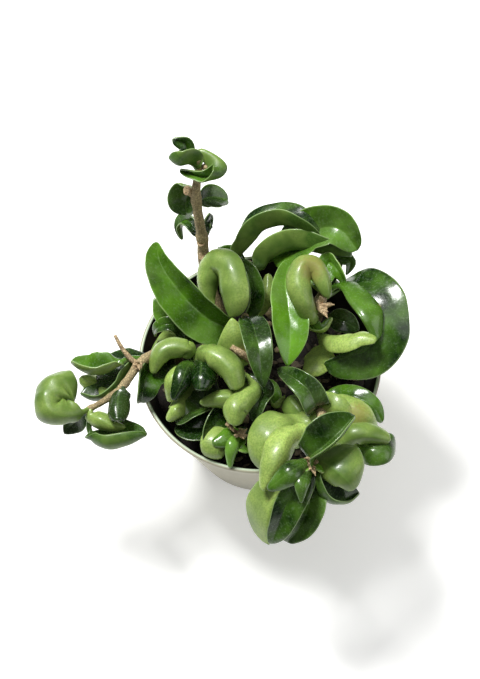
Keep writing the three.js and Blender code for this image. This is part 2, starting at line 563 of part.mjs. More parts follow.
      path: [
        [-39, 4.5, 76], [-47.5, -3, 86], [-52, -8, 89], [-56, -13.5, 88],
        [-60, -18, 87], [-67.5, -22, 84], [-76.5, -25, 81],
      ],
      radii: [2.4, 2.4, 2.3, 2.4, 2.4, 2, 1.7, 1.4, 1.1],
      leaves: [
        ["dark curl", 0.5,
          [[-58, -9.5, 85], [-60.5, -14, 83], [-65.5, -18, 82], [-71.5, -19.5, 81], [-78, -16.5, 82]],
          [-0.3, 0.35, 0.9], [6, 13], { fold: [65, 12], curl: [20, 15], blunt: 0.45 }],
        ["glossy rim leaf", 0.3, [[-49.5, -11.5, 84], [-51, -17.5, 83], [-53, -20.5, 77]],
          [0.1, -0.5, 0.9], [9, 7], { fold: [25, 30], curl: 20, blunt: 0.45 }],
        ["glossy round leaf", 0.76, [[-60.5, -21.5, 88], [-61, -27.5, 89], [-61, -34, 90]],
          [0, -0.4, 0.9], 16, { fold: -15, curl: -80, blunt: 0.42, stalk: 0.12 }],
        ["small bright leaf", 0.85, [[-71.5, -12.5, 80], [-74.5, -11.5, 83], [-78.5, -10, 83]],
          [0.3, -0.2, -0.9], 12, { fold: 15, curl: 50, blunt: 0.42 }],
        ["pale strip", 0.96, [[-73.5, -27, 82], [-69, -30, 83], [-64, -32.5, 82], [-58.5, -33, 80]],
          [0, 0.3, -1], 11, { fold: 15, curl: 60, widest: 0.65 }],
        ["lower boat", 0.96,
          [[-74.5, -32, 77], [-71, -36.5, 76], [-66, -39, 76], [-58.5, -39, 78], [-49.5, -36.5, 80]],
          [0.1, 0.3, 0.9], [14, 11], { fold: [10, 15], curl: [10, 125], blunt: 0.5, stalk: 0.28 }],
        ["round end leaf", 0.97,
          [[-78, -27.5, 85], [-83.5, -29.5, 88], [-89, -27.5, 91], [-91, -21.5, 92],
            [-87.5, -13.5, 91], [-80.5, -8.5, 87]],
          [0.1, 0.4, -0.9], [18, 15], { fold: 10, curl: 80, blunt: 0.35, widest: 1.6 }],
        ["dark end leaf", 0.97, [[-82, -26, 72], [-87, -29, 68]],
          [0, -0.5, 0.9], 11, { fold: 15, curl: 10 }],
        ["pale boat", 0.6,
          [[-56, -5.5, 90], [-61.5, -9, 91], [-68, -11, 90], [-74.5, -10, 90], [-81, -5, 90]],
          [0, 0.3, 0.95], [6, 9], { fold: [70, 35], curl: 15, blunt: 0.5, stalk: 0.3 }],
      ],
    },
    {
      path: [[-51, -9, 89], [-55, -6.5, 92], [-58.5, -2.5, 95], [-61, 2, 98]],
      radii: [1.2, 1.1, 0.9, 0.7],
    },
  ],
};

// The outer radius of the pot's tapered wall at a height
function wallRadius(height) {
  const taper = (POT_RIM_RADIUS - POT_LIP - POT_BASE_RADIUS) / POT_HEIGHT;
  return POT_BASE_RADIUS + taper * height;
}

// The pot: a tapered cup with a lip, turned about its axis, with drain holes in its floor
function pot() {
  const lipFoot = POT_HEIGHT - POT_LIP_HEIGHT;
  const mouth = wallRadius(POT_HEIGHT) - POT_WALL;
  const profile = [
    [0, 0],
    [POT_BASE_RADIUS - POT_BEVEL, 0],
    [wallRadius(POT_BEVEL), POT_BEVEL],
    [wallRadius(lipFoot), lipFoot - POT_BEVEL],
    [wallRadius(lipFoot) + POT_LIP, lipFoot],
    [POT_RIM_RADIUS, POT_HEIGHT - POT_ROUND],
    [POT_RIM_RADIUS - POT_ROUND, POT_HEIGHT],
    [mouth + POT_ROUND, POT_HEIGHT],
    [mouth, POT_HEIGHT - POT_ROUND],
    [wallRadius(POT_FLOOR) - POT_WALL, POT_FLOOR],
    [0, POT_FLOOR],
  ];
  const holes = Array.from({ length: DRAIN_HOLES }, (_, i) => {
    const angle = (2 * Math.PI * i) / DRAIN_HOLES;
    const [x, y] = [DRAIN_HOLE_RING * Math.cos(angle), DRAIN_HOLE_RING * Math.sin(angle)];
    return upright(x, y, DRAIN_HOLE_RADIUS, -POT_FLOOR, 2 * POT_FLOOR);
  });
  const cup = solidFrom(turned(profile, POT_SIDES)).subtract(wasm.Manifold.union(holes));
  return meshFrom("pot", cup, POT_TAUPE);
}

// The pebbles on the mix: places and radii drawn at random, all inside a circle
function drawnPebbles(reach) {
  const random = seeded(PEBBLE_SEED);
  return Array.from({ length: PEBBLES }, () => {
    const radius = THREE.MathUtils.lerp(...PEBBLE_RADIUS, random());
    const away = (reach - radius - 1) * Math.sqrt(random());
    const angle = 2 * Math.PI * random();
    return { x: away * Math.cos(angle), y: away * Math.sin(angle), radius };
  });
}

// The rise of the mix over its flat top: two waves make the broad lumps, and each pebble is a dome
function mixRise(x, y, pebbles) {
  const straight = Math.sin(MIX_WAVES.x * x + MIX_WAVES.shift) * Math.cos(MIX_WAVES.y * y);
  const slanting = MIX_SLANT.share * Math.sin(MIX_SLANT.x * x - MIX_SLANT.y * y);
  const domes = pebbles.map((pebble) => {
    const away = ((x - pebble.x) ** 2 + (y - pebble.y) ** 2) / pebble.radius ** 2;
    return pebble.radius * Math.sqrt(Math.max(0, 1 - away));
  });
  return MIX_LUMP * (straight + slanting) + Math.max(...domes);
}

// The potting mix: a plug that fills the cup, lumpy on top, with a hole for each stem.
// Its rise fades out over the last share of its radius, so the edge is a plain circle.
function pottingMix() {
  const inside = (height) => wallRadius(height) - POT_WALL - GAP;
  const bottom = POT_FLOOR + GAP;
  const reach = inside(MIX_TOP);
  const rings = Array.from({ length: MIX_RINGS + 1 }, (_, i) => reach * (1 - i / MIX_RINGS));
  const profile = [[0, bottom], [inside(bottom), bottom], ...rings.map((radius) => [radius, MIX_TOP])];
  const geometry = turned(profile, POT_SIDES);
  const pebbles = drawnPebbles(reach);
  const position = geometry.getAttribute("position");
  for (let i = 0; i < position.count; i++) {
    const [x, y, z] = [position.getX(i), position.getY(i), position.getZ(i)];
    const fading = Math.min(1, (1 - Math.hypot(x, y) / reach) / MIX_EDGE);
    if (z > bottom + 1) position.setZ(i, z + mixRise(x, y, pebbles) * fading);
  }
  const standing = Object.values(SHOOTS).flatMap((twigs) => twigs.filter(({ foot }) => foot));
  const holes = standing.map(({ foot: [x, y], radii: [radius] }) => {
    return upright(x, y, radius + GAP, STEM_FOOT - GAP, STEM_HOLE_TOP);
  });
  const plug = solidFrom(geometry).subtract(wasm.Manifold.union(holes));
  return meshFrom("potting_mix", plug, MIX_BROWN);
}

const group = new THREE.Group();
group.add(pot());
group.add(pottingMix());
for (const [name, twigs] of Object.entries(SHOOTS)) group.add(shoot(name, twigs));

export default group;
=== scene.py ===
# A compact hoya in a round nursery pot: folded, curled, waxy leaves on woody stems.
# Sizes are in millimetres here and turned to metres where a mesh is made. +Z up, the front towards -Y.
import math

import bmesh
import bpy
import numpy as np
from mathutils import Matrix, Vector


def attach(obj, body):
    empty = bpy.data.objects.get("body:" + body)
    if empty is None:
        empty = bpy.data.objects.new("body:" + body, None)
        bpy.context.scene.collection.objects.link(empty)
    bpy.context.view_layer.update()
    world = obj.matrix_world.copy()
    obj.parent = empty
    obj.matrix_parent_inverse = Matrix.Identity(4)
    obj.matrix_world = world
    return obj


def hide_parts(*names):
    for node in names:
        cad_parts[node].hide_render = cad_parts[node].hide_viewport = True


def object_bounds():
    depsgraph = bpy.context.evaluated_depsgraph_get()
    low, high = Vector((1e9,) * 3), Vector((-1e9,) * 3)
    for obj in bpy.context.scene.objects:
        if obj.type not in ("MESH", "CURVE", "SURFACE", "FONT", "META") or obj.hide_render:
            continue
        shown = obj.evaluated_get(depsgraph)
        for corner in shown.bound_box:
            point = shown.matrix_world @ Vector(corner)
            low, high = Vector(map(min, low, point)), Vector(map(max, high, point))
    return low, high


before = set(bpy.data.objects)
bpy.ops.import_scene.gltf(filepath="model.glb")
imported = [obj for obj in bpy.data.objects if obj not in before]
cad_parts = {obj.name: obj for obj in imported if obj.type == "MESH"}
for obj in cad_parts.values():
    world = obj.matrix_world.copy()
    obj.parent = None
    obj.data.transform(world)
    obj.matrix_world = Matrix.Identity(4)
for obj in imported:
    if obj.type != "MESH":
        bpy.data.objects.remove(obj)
cad_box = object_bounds()

# The nursery pot: one thin cup of polypropylene, injection moulded. It tapers to its base, has a lip that
# stiffens the rim and six drain holes in its floor. Grey-taupe outside, with a painted highlight along the
# top of the rim, and near black within.
POT_HEIGHT = 72
POT_BASE_RADIUS = 35.5
POT_RIM_RADIUS = 54
POT_WALL = 1.2
POT_FLOOR = 2.4
POT_LIP = 0.6
POT_LIP_HEIGHT = 7
POT_SLOPE = (POT_RIM_RADIUS - POT_LIP - POT_BASE_RADIUS) / POT_HEIGHT
POT_SIDES = 144
WALL_RINGS = 12
FOOT_RING = 0.5
DRAIN_HOLES = 6
DRAIN_HOLE_RADIUS = 4
DRAIN_HOLE_SIDES = 32
DRAIN_HOLE_RING = 24
PUNCH_LENGTH = 10


def linear(code):
    """A colour's hex code as the linear values that a shader takes."""
    parts = [int(code[i:i + 2], 16) / 255 for i in (1, 3, 5)]
    return [c / 12.92 if c <= 0.04045 else ((c + 0.055) / 1.055) ** 2.4 for c in parts] + [1]


def new_material(name):
    """A material with a Principled shader: the material, its node tree and that shader."""
    made = bpy.data.materials.new(name)
    made.use_nodes = True
    return made, made.node_tree, made.node_tree.nodes["Principled BSDF"]


def dress(tree, node, settings=(), links=()):
    """Gives a node its settings, and the outputs that feed its sockets."""
    for name, value in dict(settings).items():
        if isinstance(name, str) and hasattr(node, name):
            setattr(node, name, value)
        else:
            node.inputs[name].default_value = value
    for name, output in dict(links).items():
        tree.links.new(output, node.inputs[name])


def add(tree, kind, settings=(), links=()):
    """Adds a shader node with its settings and links, and gives its outputs."""
    node = tree.nodes.new("ShaderNode" + kind)
    dress(tree, node, settings, links)
    return node.outputs


def over(tree, below, mask, span, strength, colour):
    """A colour laid over another, from its first strength to its last as a mask runs through its span."""
    keys = ("From Min", "From Max", "To Min", "To Max")
    share = add(tree, "MapRange", zip(keys, span + strength), {"Value": mask})
    return add(tree, "Mix", {"data_type": "RGBA", 7: linear(colour)}, {0: share[0], 6: below})[2]


def piece(name, vertices, faces, numbers, material):
    """A smooth object that rides on the one body, from millimetres, with numbers kept at each vertex."""
    mesh = bpy.data.meshes.new(name)
    mesh.from_pydata((np.asarray(vertices, float) / 1000).tolist(), [], faces)
    for key, values in numbers.items():
        kept = mesh.attributes.new(key, "FLOAT", "POINT")
        kept.data.foreach_set("value", np.asarray(values, np.float32))
    mesh.materials.append(material)
    mesh.polygons.foreach_set("use_smooth", np.ones(len(mesh.polygons), bool))
    mesh.update()
    made = bpy.data.objects.new(name, mesh)
    bpy.context.scene.collection.objects.link(made)
    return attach(made, "root")


def skin(rings, start, end):
    """Vertices and faces of a closed skin over rings of points, which comes to a point at both ends."""
    count, around = rings.shape[:2]
    vertices = np.vstack([[start], rings.reshape(-1, 3), [end]])
    top = 1 + (count - 1) * around
    faces = []
    for n in range(around):
        after = (n + 1) % around
        faces.append([0, 1 + after, 1 + n])
        for low in range(1, top, around):
            faces.append([low + n, low + after, low + around + after, low + around + n])
        faces.append([top + n, top + after, len(vertices) - 1])
    return vertices, faces


def turned(profile, sides):
    """The skin that a profile of [radius, height] leaves when it turns about the pot's axis."""
    angles = np.arange(sides) * 2 * math.pi / sides
    around = np.column_stack([np.cos(angles), np.sin(angles)])
    rings = [np.column_stack([radius * around, np.full(sides, height)]) for radius, height in profile[1:-1]]
    return skin(np.array(rings), [0, 0, profile[0][1]], [0, 0, profile[-1][1]])


# Moulded polypropylene: a fine spark-eroded grain that breaks up the shine, flow streaks down the wall and
# the odd scuff. The top of the rim is painted paler, a painted highlight where it catches the light; inside
# it is painted near black all over.
polypropylene, tree, shader = new_material("moulded_polypropylene")
place = add(tree, "TexCoord")["Object"]
# 0.35 mm grain, drawn at 0.8 mm so that it shows
grain = add(tree, "TexNoise", {"Scale": 1250, "Detail": 2}, {"Vector": place})
streaks = add(tree, "Mapping", {"Scale": (1, 1, 0.12)}, {"Vector": place})
flow = add(tree, "TexNoise", {"Scale": 160, "Detail": 3}, {"Vector": streaks[0]})
dust = add(tree, "TexNoise", {"Scale": 45, "Detail": 5, "Roughness": 0.65}, {"Vector": place})
rim = add(tree, "Attribute", {"attribute_name": "rim"})
within = add(tree, "Attribute", {"attribute_name": "within"})
wall = add(tree, "Mix", {"data_type": "RGBA", 6: linear("#9a957f"), 7: linear("#b2ad97")}, {0: flow["Fac"]})
wall = over(tree, wall[2], dust["Fac"], (0.5, 0.75), (0, 0.35), "#c2bda8")
# painted highlight: the top of the rim is painted paler
wall = over(tree, wall, rim["Fac"], (0, 1), (0, 1), "#a5b397")
wall = over(tree, wall, within["Fac"], (0, 1), (0, 1), "#141412")
rough = add(tree, "MapRange", {"To Min": 0.28, "To Max": 0.5}, {"Value": dust["Fac"]})
relief = add(tree, "Bump", {"Strength": 0.25, "Distance": 0.0001}, {"Height": grain["Fac"]})
dress(tree, shader, {"IOR": 1.49}, {"Base Color": wall, "Roughness": rough[0], "Normal": relief[0]})


def outside(height):
    """The radius of the pot's outer wall at a height."""
    return POT_BASE_RADIUS + POT_SLOPE * height


lip_foot = POT_HEIGHT - POT_LIP_HEIGHT
lip = outside(lip_foot)
mouth = outside(POT_HEIGHT) - POT_WALL
profile = [
    # the foot ring and its rounded edge
    [0, FOOT_RING], [POT_BASE_RADIUS - 5.2, FOOT_RING], [POT_BASE_RADIUS - 4.6, 0],
    [POT_BASE_RADIUS - 0.8, 0], [POT_BASE_RADIUS - 0.2, 0.3], [outside(1), 1],
    # the wall, up to the step of the lip
    *[[outside(h), h] for h in np.linspace(3, lip_foot - 2, WALL_RINGS)],
    [lip - 0.02, lip_foot - 0.8], [lip + 0.15, lip_foot - 0.45],
    [lip + POT_LIP - 0.25, lip_foot - 0.2], [lip + POT_LIP, lip_foot + 0.2],
    [outside(lip_foot + 3) + POT_LIP, lip_foot + 3],
    # the rounded rim
    [POT_RIM_RADIUS - 0.02, POT_HEIGHT - 0.9], [POT_RIM_RADIUS - 0.1, POT_HEIGHT - 0.4],
    [POT_RIM_RADIUS - 0.45, POT_HEIGHT - 0.1], [POT_RIM_RADIUS - 0.9, POT_HEIGHT],
    [mouth + 0.5, POT_HEIGHT], [mouth + 0.15, POT_HEIGHT - 0.1], [mouth, POT_HEIGHT - 0.4],
    # the inside of the wall, and the floor
    *[[outside(h) - POT_WALL, h] for h in np.linspace(POT_HEIGHT - 3, POT_FLOOR + 1, WALL_RINGS)],
    [outside(POT_FLOOR) - POT_WALL - 0.8, POT_FLOOR], [0, POT_FLOOR],
]
vertices, faces = turned(profile, POT_SIDES)
reach, height = np.hypot(vertices[:, 0], vertices[:, 1]), vertices[:, 2]
painted_rim_highlight = (height > POT_HEIGHT - 0.5) & (reach < POT_RIM_RADIUS - 0.5)
is_within = (reach < outside(height) - POT_WALL / 2) & (height > POT_FLOOR - 0.1)
within_share = is_within * np.clip((POT_HEIGHT - height) / 0.3, 0, 1)
pot = piece("nursery_pot", vertices, faces, {"rim": painted_rim_highlight, "within": within_share}, polypropylene)
for n in range(DRAIN_HOLES):
    angle = 2 * math.pi * n / DRAIN_HOLES
    spot = Vector((DRAIN_HOLE_RING * math.cos(angle), DRAIN_HOLE_RING * math.sin(angle), 1)) / 1000
    bpy.ops.mesh.primitive_cylinder_add(
        vertices=DRAIN_HOLE_SIDES, radius=DRAIN_HOLE_RADIUS / 1000, depth=PUNCH_LENGTH / 1000, location=spot,
    )
    punch = bpy.context.object
    hole = pot.modifiers.new("drain_hole", "BOOLEAN")
    hole.object = punch
    pot.data = bpy.data.meshes.new_from_object(pot.evaluated_get(bpy.context.evaluated_depsgraph_get()))
    pot.modifiers.clear()
    bpy.data.objects.remove(punch)
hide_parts("pot")

# The potting mix: composted bark and peat with pumice, filled loose and settled by watering to about 16 mm
# under the rim. Its top is lumpy, with chips of bark and pale pebbles lying half sunk in it.
MIX_TOP = 55
MIX_LUMP = 0.77
MIX_WAVES = {"x": 0.31, "y": 0.27, "shift": 1.7}
MIX_SLANT = {"x": 0.63, "y": 0.52, "share": 0.6}
# the height, the width and the seed of the finer lumps
MIX_CLODS = ((0.5, 5, 11), (0.25, 2.2, 12))
MIX_SPACING = 1.1
MIX_SIDES = 180
MIX_EDGE = 0.125
GAP = 0.3
STONE_SEEDS = (21, 30)
STONE_RELIEF = 0.16
STONE_WAVE = 2.4
CHIPS = 420
CHIP_RADII = (0.7, 2.2)
CHIP_SHAPE = (1.5, 0.7, 0.3)
CHIP_PALENESS = (0, 0.25)
PEBBLES = 64
PEBBLE_RADII = (1.3, 3.4)
PEBBLE_SHAPE = (1, 0.8, 0.7)
SHOWN_PEBBLES = [(4, 43, 2.2), (3, 37, 1.8), (6.5, 32, 3.2), (5.5, 26, 2), (11, 23, 1.6)]
SHOWN_PALENESS = 0.9
STONE_RISE = 0.25
STONE_TILT = 0.5
WALL_CLEARANCE = 1.5
STEM_CLEARANCE = 3
FEET = [(-16, 27), (-8, 16), (-2, 38), (27, 24), (-9, -2), (-25, 3), (-13, -28), (20, -12), (-37, 8)]


def ripple(points, wavelength, seed, waves=7):
    """Smooth seeded unevenness of about -1 to 1 at each point: a sum of plane waves in all directions."""
    draw = np.random.default_rng(seed)
    ways = draw.normal(size=(waves, 3))
    ways *= 2 * math.pi / wavelength / np.linalg.norm(ways, axis=1, keepdims=True)
    ways *= draw.uniform(0.6, 1.6, (waves, 1))
    return np.sin(points @ ways.T + draw.uniform(0, 2 * math.pi, waves)).sum(1) / math.sqrt(waves)


def mix_height(x, y):
    """The height of the mix's top at a place."""
    lumps = np.sin(MIX_WAVES["x"] * x + MIX_WAVES["shift"]) * np.cos(MIX_WAVES["y"] * y)
    lumps = lumps + MIX_SLANT["share"] * np.sin(MIX_SLANT["x"] * x - MIX_SLANT["y"] * y)
    flat = np.column_stack([x, y, np.zeros(len(x))])
    clods = sum(high * ripple(flat, wide, seed) for high, wide, seed in MIX_CLODS)
    return MIX_TOP + MIX_LUMP * lumps + clods


# Composted bark and peat: dark brown crumb, painted near black so that it also gives the painted shade in
# the gaps under the leaves; each grain a little lighter or redder than the next, and dull all over. The
# crumbs are 1.5 mm across.
potting_mix, tree, shader = new_material("bark_and_peat_mix")
place = add(tree, "TexCoord")["Object"]
crumbs = add(tree, "TexVoronoi", {"Scale": 650}, {"Vector": place})
fibre = add(tree, "TexNoise", {"Scale": 1400, "Detail": 4}, {"Vector": place})
# painted shade: both crumb colours are darker than the mix itself, for the shade under the leaves
shade = add(tree, "Mix", {"data_type": "RGBA", 6: linear("#0a0705"), 7: linear("#251a11")},
            {0: crumbs["Color"]})
shade = add(tree, "Mix", {"data_type": "RGBA", "blend_type": "MULTIPLY", 0: 0.6},
            {6: shade[2], 7: fibre["Color"]})
relief = add(tree, "Bump", {"Strength": 0.8, "Distance": 0.0006}, {"Height": crumbs["Distance"]})
dress(tree, shader, {"Roughness": 0.92}, {"Base Color": shade[2], "Normal": relief[0]})

# Bark chips and pumice: chips are torn brown bark, and pebbles are tan and grey, water worn, with pores
# 0.7 mm apart.
stones, tree, shader = new_material("bark_chips_and_pumice")
place = add(tree, "TexCoord")["Object"]
pale = add(tree, "Attribute", {"attribute_name": "pale"})
pores = add(tree, "TexNoise", {"Scale": 1500, "Detail": 4}, {"Vector": place})
shade = add(tree, "Mix", {"data_type": "RGBA", 6: linear("#1a120b"), 7: linear("#dcc79b")}, {0: pale["Fac"]})
shade = add(tree, "Mix", {"data_type": "RGBA", "blend_type": "MULTIPLY", 0: 0.5},
            {6: shade[2], 7: pores["Color"]})
relief = add(tree, "Bump", {"Strength": 0.5, "Distance": 0.0003}, {"Height": pores["Fac"]})
dress(tree, shader, {"Roughness": 0.85}, {"Base Color": shade[2], "Normal": relief[0]})

bottom = POT_FLOOR + GAP
mix_radius = outside(MIX_TOP) - POT_WALL - GAP
rings = int(mix_radius / MIX_SPACING)
profile = [[0, bottom], [outside(bottom) - POT_WALL - GAP, bottom], [mix_radius, MIX_TOP]]
profile += [[mix_radius * (1 - n / rings), MIX_TOP] for n in range(1, rings)] + [[0, MIX_TOP]]
vertices, faces = turned(profile, MIX_SIDES)
top = vertices[:, 2] > MIX_TOP - 1
edge = np.clip((1 - np.hypot(vertices[:, 0], vertices[:, 1]) / mix_radius) / MIX_EDGE, 0, 1)
rise = (mix_height(vertices[:, 0], vertices[:, 1]) - MIX_TOP) * edge
vertices[top, 2] += rise[top]
mix = piece("potting_mix_top", vertices, faces, {}, potting_mix)
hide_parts("potting_mix")

draw = np.random.default_rng(STONE_SEEDS[0])
ball = bmesh.new()
bmesh.ops.create_icosphere(ball, subdivisions=2, radius=1)
ball_vertices = np.array([v.co for v in ball.verts])
ball_faces = [[v.index for v in f.verts] for f in ball.faces]
ball.free()
lumps = [(x, y, radius, True, SHOWN_PALENESS) for x, y, radius in SHOWN_PEBBLES]
for n in range(CHIPS + PEBBLES):
    pebble = n >= CHIPS
    radius = draw.uniform(*(PEBBLE_RADII if pebble else CHIP_RADII))
    away = (mix_radius - radius - WALL_CLEARANCE) * math.sqrt(draw.uniform())
    angle = draw.uniform(0, 2 * math.pi)
    paleness = draw.uniform() ** 3 if pebble else draw.uniform(*CHIP_PALENESS)
    lumps.append((away * math.cos(angle), away * math.sin(angle), radius, pebble, paleness))
vertices, faces, pale = [], [], []
for n, (x, y, radius, pebble, paleness) in enumerate(lumps):
    if min(math.hypot(x - a, y - b) for a, b in FEET) < radius * CHIP_SHAPE[0] + STEM_CLEARANCE:
        continue
    bumps = STONE_RELIEF * ripple(ball_vertices * 2 + n, STONE_WAVE, STONE_SEEDS[1])
    size = radius * np.array(PEBBLE_SHAPE if pebble else CHIP_SHAPE)
    spin = Matrix.Rotation(draw.uniform(0, math.pi), 3, "Z")
    tilt = Matrix.Rotation(draw.uniform(-STONE_TILT, STONE_TILT), 3, "X")
    height = mix_height(np.array([x]), np.array([y]))[0] + STONE_RISE * radius
    faces += [[v + len(vertices) * len(ball_vertices) for v in face] for face in ball_faces]
    vertices.append((ball_vertices * (1 + bumps)[:, None] * size) @ np.array(spin @ tilt).T + [x, y, height])
    pale += [paleness] * len(ball_vertices)
chips = piece("bark_chips_and_pebbles", np.vstack(vertices), faces, {"pale": pale}, stones)

# The woody stems: old hoya wood, 4 to 5 mm thick, grey-tan bark in fine lengthwise cracks, swollen at each
# node. Leaf scars are pale discs, and dried flower stalks stay on as thin brown twigs.
FOOT_HEIGHTS = [40, MIX_TOP + 1, MIX_TOP + 7]
CURVE_SAMPLES = 121
BARK_SIDES = 20
BARK_STEP = 0.8
BARK_FEWEST = 8
BARK_DEPTH = 0.045
BARK_WAVES = (1.6, 2.4)
# how fast the ridges change round a twig, and along it
BARK_RIDGES = (3, 0.25)
BARK_FACE = [0.3, 0.2, 1]
BARK_SEED = 100
NODE_SWELLING = 0.16
NODE_REACH = 1.6
SCAR_SIDES = 18
SCAR_FACE = [0.3, 0.9, 0.2]
SCAR_RELIEF = 0.05
SCAR_WAVE = 1.5
SCAR_HEART = 0.08
SCAR_SEED = 200
# the radius and the height of each ring of a leaf scar, in shares of its radius
SCAR_RINGS = [
    (0.75, -0.72), (1.02, -0.3), (1.1, 0.12), (1.0, 0.33), (0.85, 0.36), (0.55, 0.18), (0.25, 0.09),
]
TIP_SEED = 300
# how the scales of a growing tip lean apart; their other measures are shares of the tip's size
TIP_SPREAD = 0.55
TIP_SCATTER = 0.12
TIP_BEND = 0.2
TIP_LENGTHS = (0.6, 1.1)
TIP_RADII = (0.14, 0.2, 0.03)


def station(values, share):
    """Values at shares of a length, eased between evenly spaced stations."""
    values = np.atleast_1d(np.asarray(values, float))
    if len(values) == 1:
        return np.full(len(share), values[0])
    place = share * (len(values) - 1)
    before = np.minimum(place.astype(int), len(values) - 2)
    part = place - before
    part = part * part * (3 - 2 * part)
    return values[before] * (1 - part) + values[before + 1] * part


def smooth_curve(points, shares):
    """Points, directions and the length of a smooth curve through points, at shares of its length."""
    knots = np.array(points, float)
    knots = np.vstack([2 * knots[0] - knots[1], knots, 2 * knots[-1] - knots[-2]])
    gaps = np.sqrt(np.linalg.norm(np.diff(knots, axis=0), axis=1))

    def at(t):
        place = np.clip(t, 0, 1) * (len(knots) - 3)
        i = np.minimum(place.astype(int), len(knots) - 4)
        w = (place - i)[:, None]
        before, start, end, after = (knots[i + k] for k in range(4))
        a, b, c = (gaps[i + k][:, None] for k in range(3))
        leave = b * ((start - before) / a - (end - before) / (a + b) + (end - start) / b)
        arrive = b * ((end - start) / b - (after - start) / (b + c) + (after - end) / c)
        bend = 3 * (end - start) - 2 * leave - arrive
        return start + leave * w + bend * w**2 + (leave + arrive - 2 * (end - start)) * w**3

    fine = np.linspace(0, 1, CURVE_SAMPLES)
    run = np.concatenate([[0], np.cumsum(np.linalg.norm(np.diff(at(fine), axis=0), axis=1))])
    t = np.interp(shares, run / run[-1], fine)
    ahead = at(t + 1e-4) - at(t - 1e-4)
    return at(t), ahead / np.linalg.norm(ahead, axis=1, keepdims=True), run[-1]


def facing(spots, ahead, face, twist=0):
    """The way a leaf faces at each point: carried from the middle with the least turning, then twisted."""
    normals = np.zeros_like(spots)
    middle = (len(spots) - 1) // 2
    face = np.array(face, float)
    normals[middle] = face - face @ ahead[middle] * ahead[middle]
    normals[middle] /= np.linalg.norm(normals[middle])
    for way in (1, -1):
        i = middle
        while 0 <= i + way < len(spots):
            step = spots[i + way] - spots[i]
            tangent = ahead[i] - 2 * (step @ ahead[i]) / (step @ step) * step
            normal = normals[i] - 2 * (step @ normals[i]) / (step @ step) * step
            turn = ahead[i + way] - tangent
            if turn @ turn > 1e-12:
                normal = normal - 2 * (turn @ normal) / (turn @ turn) * turn
            i += way
            normal = normal - normal @ ahead[i] * ahead[i]
            normals[i] = normal / np.linalg.norm(normal)
    angle = np.radians(station(twist, np.linspace(0, 1, len(spots))))[:, None]
    return normals * np.cos(angle) + np.cross(ahead, normals) * np.sin(angle)


def twig(path, radii, nodes, seed):
    """A woody twig: swollen at its nodes, ridged along its bark."""
    count = max(BARK_FEWEST, int(smooth_curve(path, np.array([0.0]))[2] / BARK_STEP))
    shares = np.linspace(0, 1, count)
    spots, ahead, length = smooth_curve(path, shares)
    normals = facing(spots, ahead, BARK_FACE)
    sides = np.cross(ahead, normals)
    radius = station(radii, shares)
    for node in nodes:
        radius = radius * (1 + NODE_SWELLING * np.exp(-(((shares - node) * length / NODE_REACH) ** 2)))
    angles = -2 * math.pi * np.arange(BARK_SIDES) / BARK_SIDES
    ways = sides[:, None] * np.cos(angles)[:, None] + normals[:, None] * np.sin(angles)[:, None]
    rings = spots[:, None] + ways * radius[:, None, None]
    # ridges that run along the twig, and knobs all over it
    across, down = BARK_RIDGES
    ridges = ripple((ways * across + spots[:, None] * down).reshape(-1, 3), BARK_WAVES[0], seed)
    knobs = ripple(rings.reshape(-1, 3), BARK_WAVES[1], seed + 1)
    relief = BARK_DEPTH * (ridges + knobs).reshape(count, BARK_SIDES, 1) / 2
    return skin(rings + ways * relief * radius[:, None, None], spots[0], spots[-1])


def scar(at, way, radius, seed):
    """A leaf scar: a shallow round cup with a raised rim on a stem."""
    way = np.array(way, float) / np.linalg.norm(way)
    side = np.cross(way, SCAR_FACE)
    side /= np.linalg.norm(side)
    angles = np.linspace(0, 2 * math.pi, SCAR_SIDES, endpoint=False)
    edge = side * np.cos(angles)[:, None] + np.cross(way, side) * np.sin(angles)[:, None]
    rings = np.array([np.array(at) + radius * (edge * out + way * high) for out, high in SCAR_RINGS])
    uneven = ripple(rings.reshape(-1, 3), SCAR_WAVE, seed).reshape(*rings.shape[:2], 1)
    rings += way * SCAR_RELIEF * radius * uneven
    return skin(rings, np.array(at) - way * radius, np.array(at) + way * radius * SCAR_HEART)


def scales(at, way, size, count, seed):
    """A growing tip: a tuft of small pointed scales, brown and dry outside."""
    draw = np.random.default_rng(seed)
    parts = []
    for _ in range(count):
        lean = np.array(way, float) / np.linalg.norm(way) + draw.normal(size=3) * TIP_SPREAD
        lean /= np.linalg.norm(lean)
        start = np.array(at) + draw.normal(size=3) * size * TIP_SCATTER
        long = size * draw.uniform(*TIP_LENGTHS)
        end = start + lean * long + draw.normal(size=3) * size * TIP_BEND
        path = [start, start + lean * long * 0.5, end]
        parts.append(twig(path, size * np.array(TIP_RADII), [], int(draw.integers(1000))))
    return parts


# Old bark: tan-grey cork, darker in the lengthwise cracks, with pale worn patches; scars and dead stalks are
# dry buff and straw. No shine.
bark, tree, shader = new_material("corky_hoya_bark")
place = add(tree, "TexCoord")["Object"]
dry = add(tree, "Attribute", {"attribute_name": "dry"})
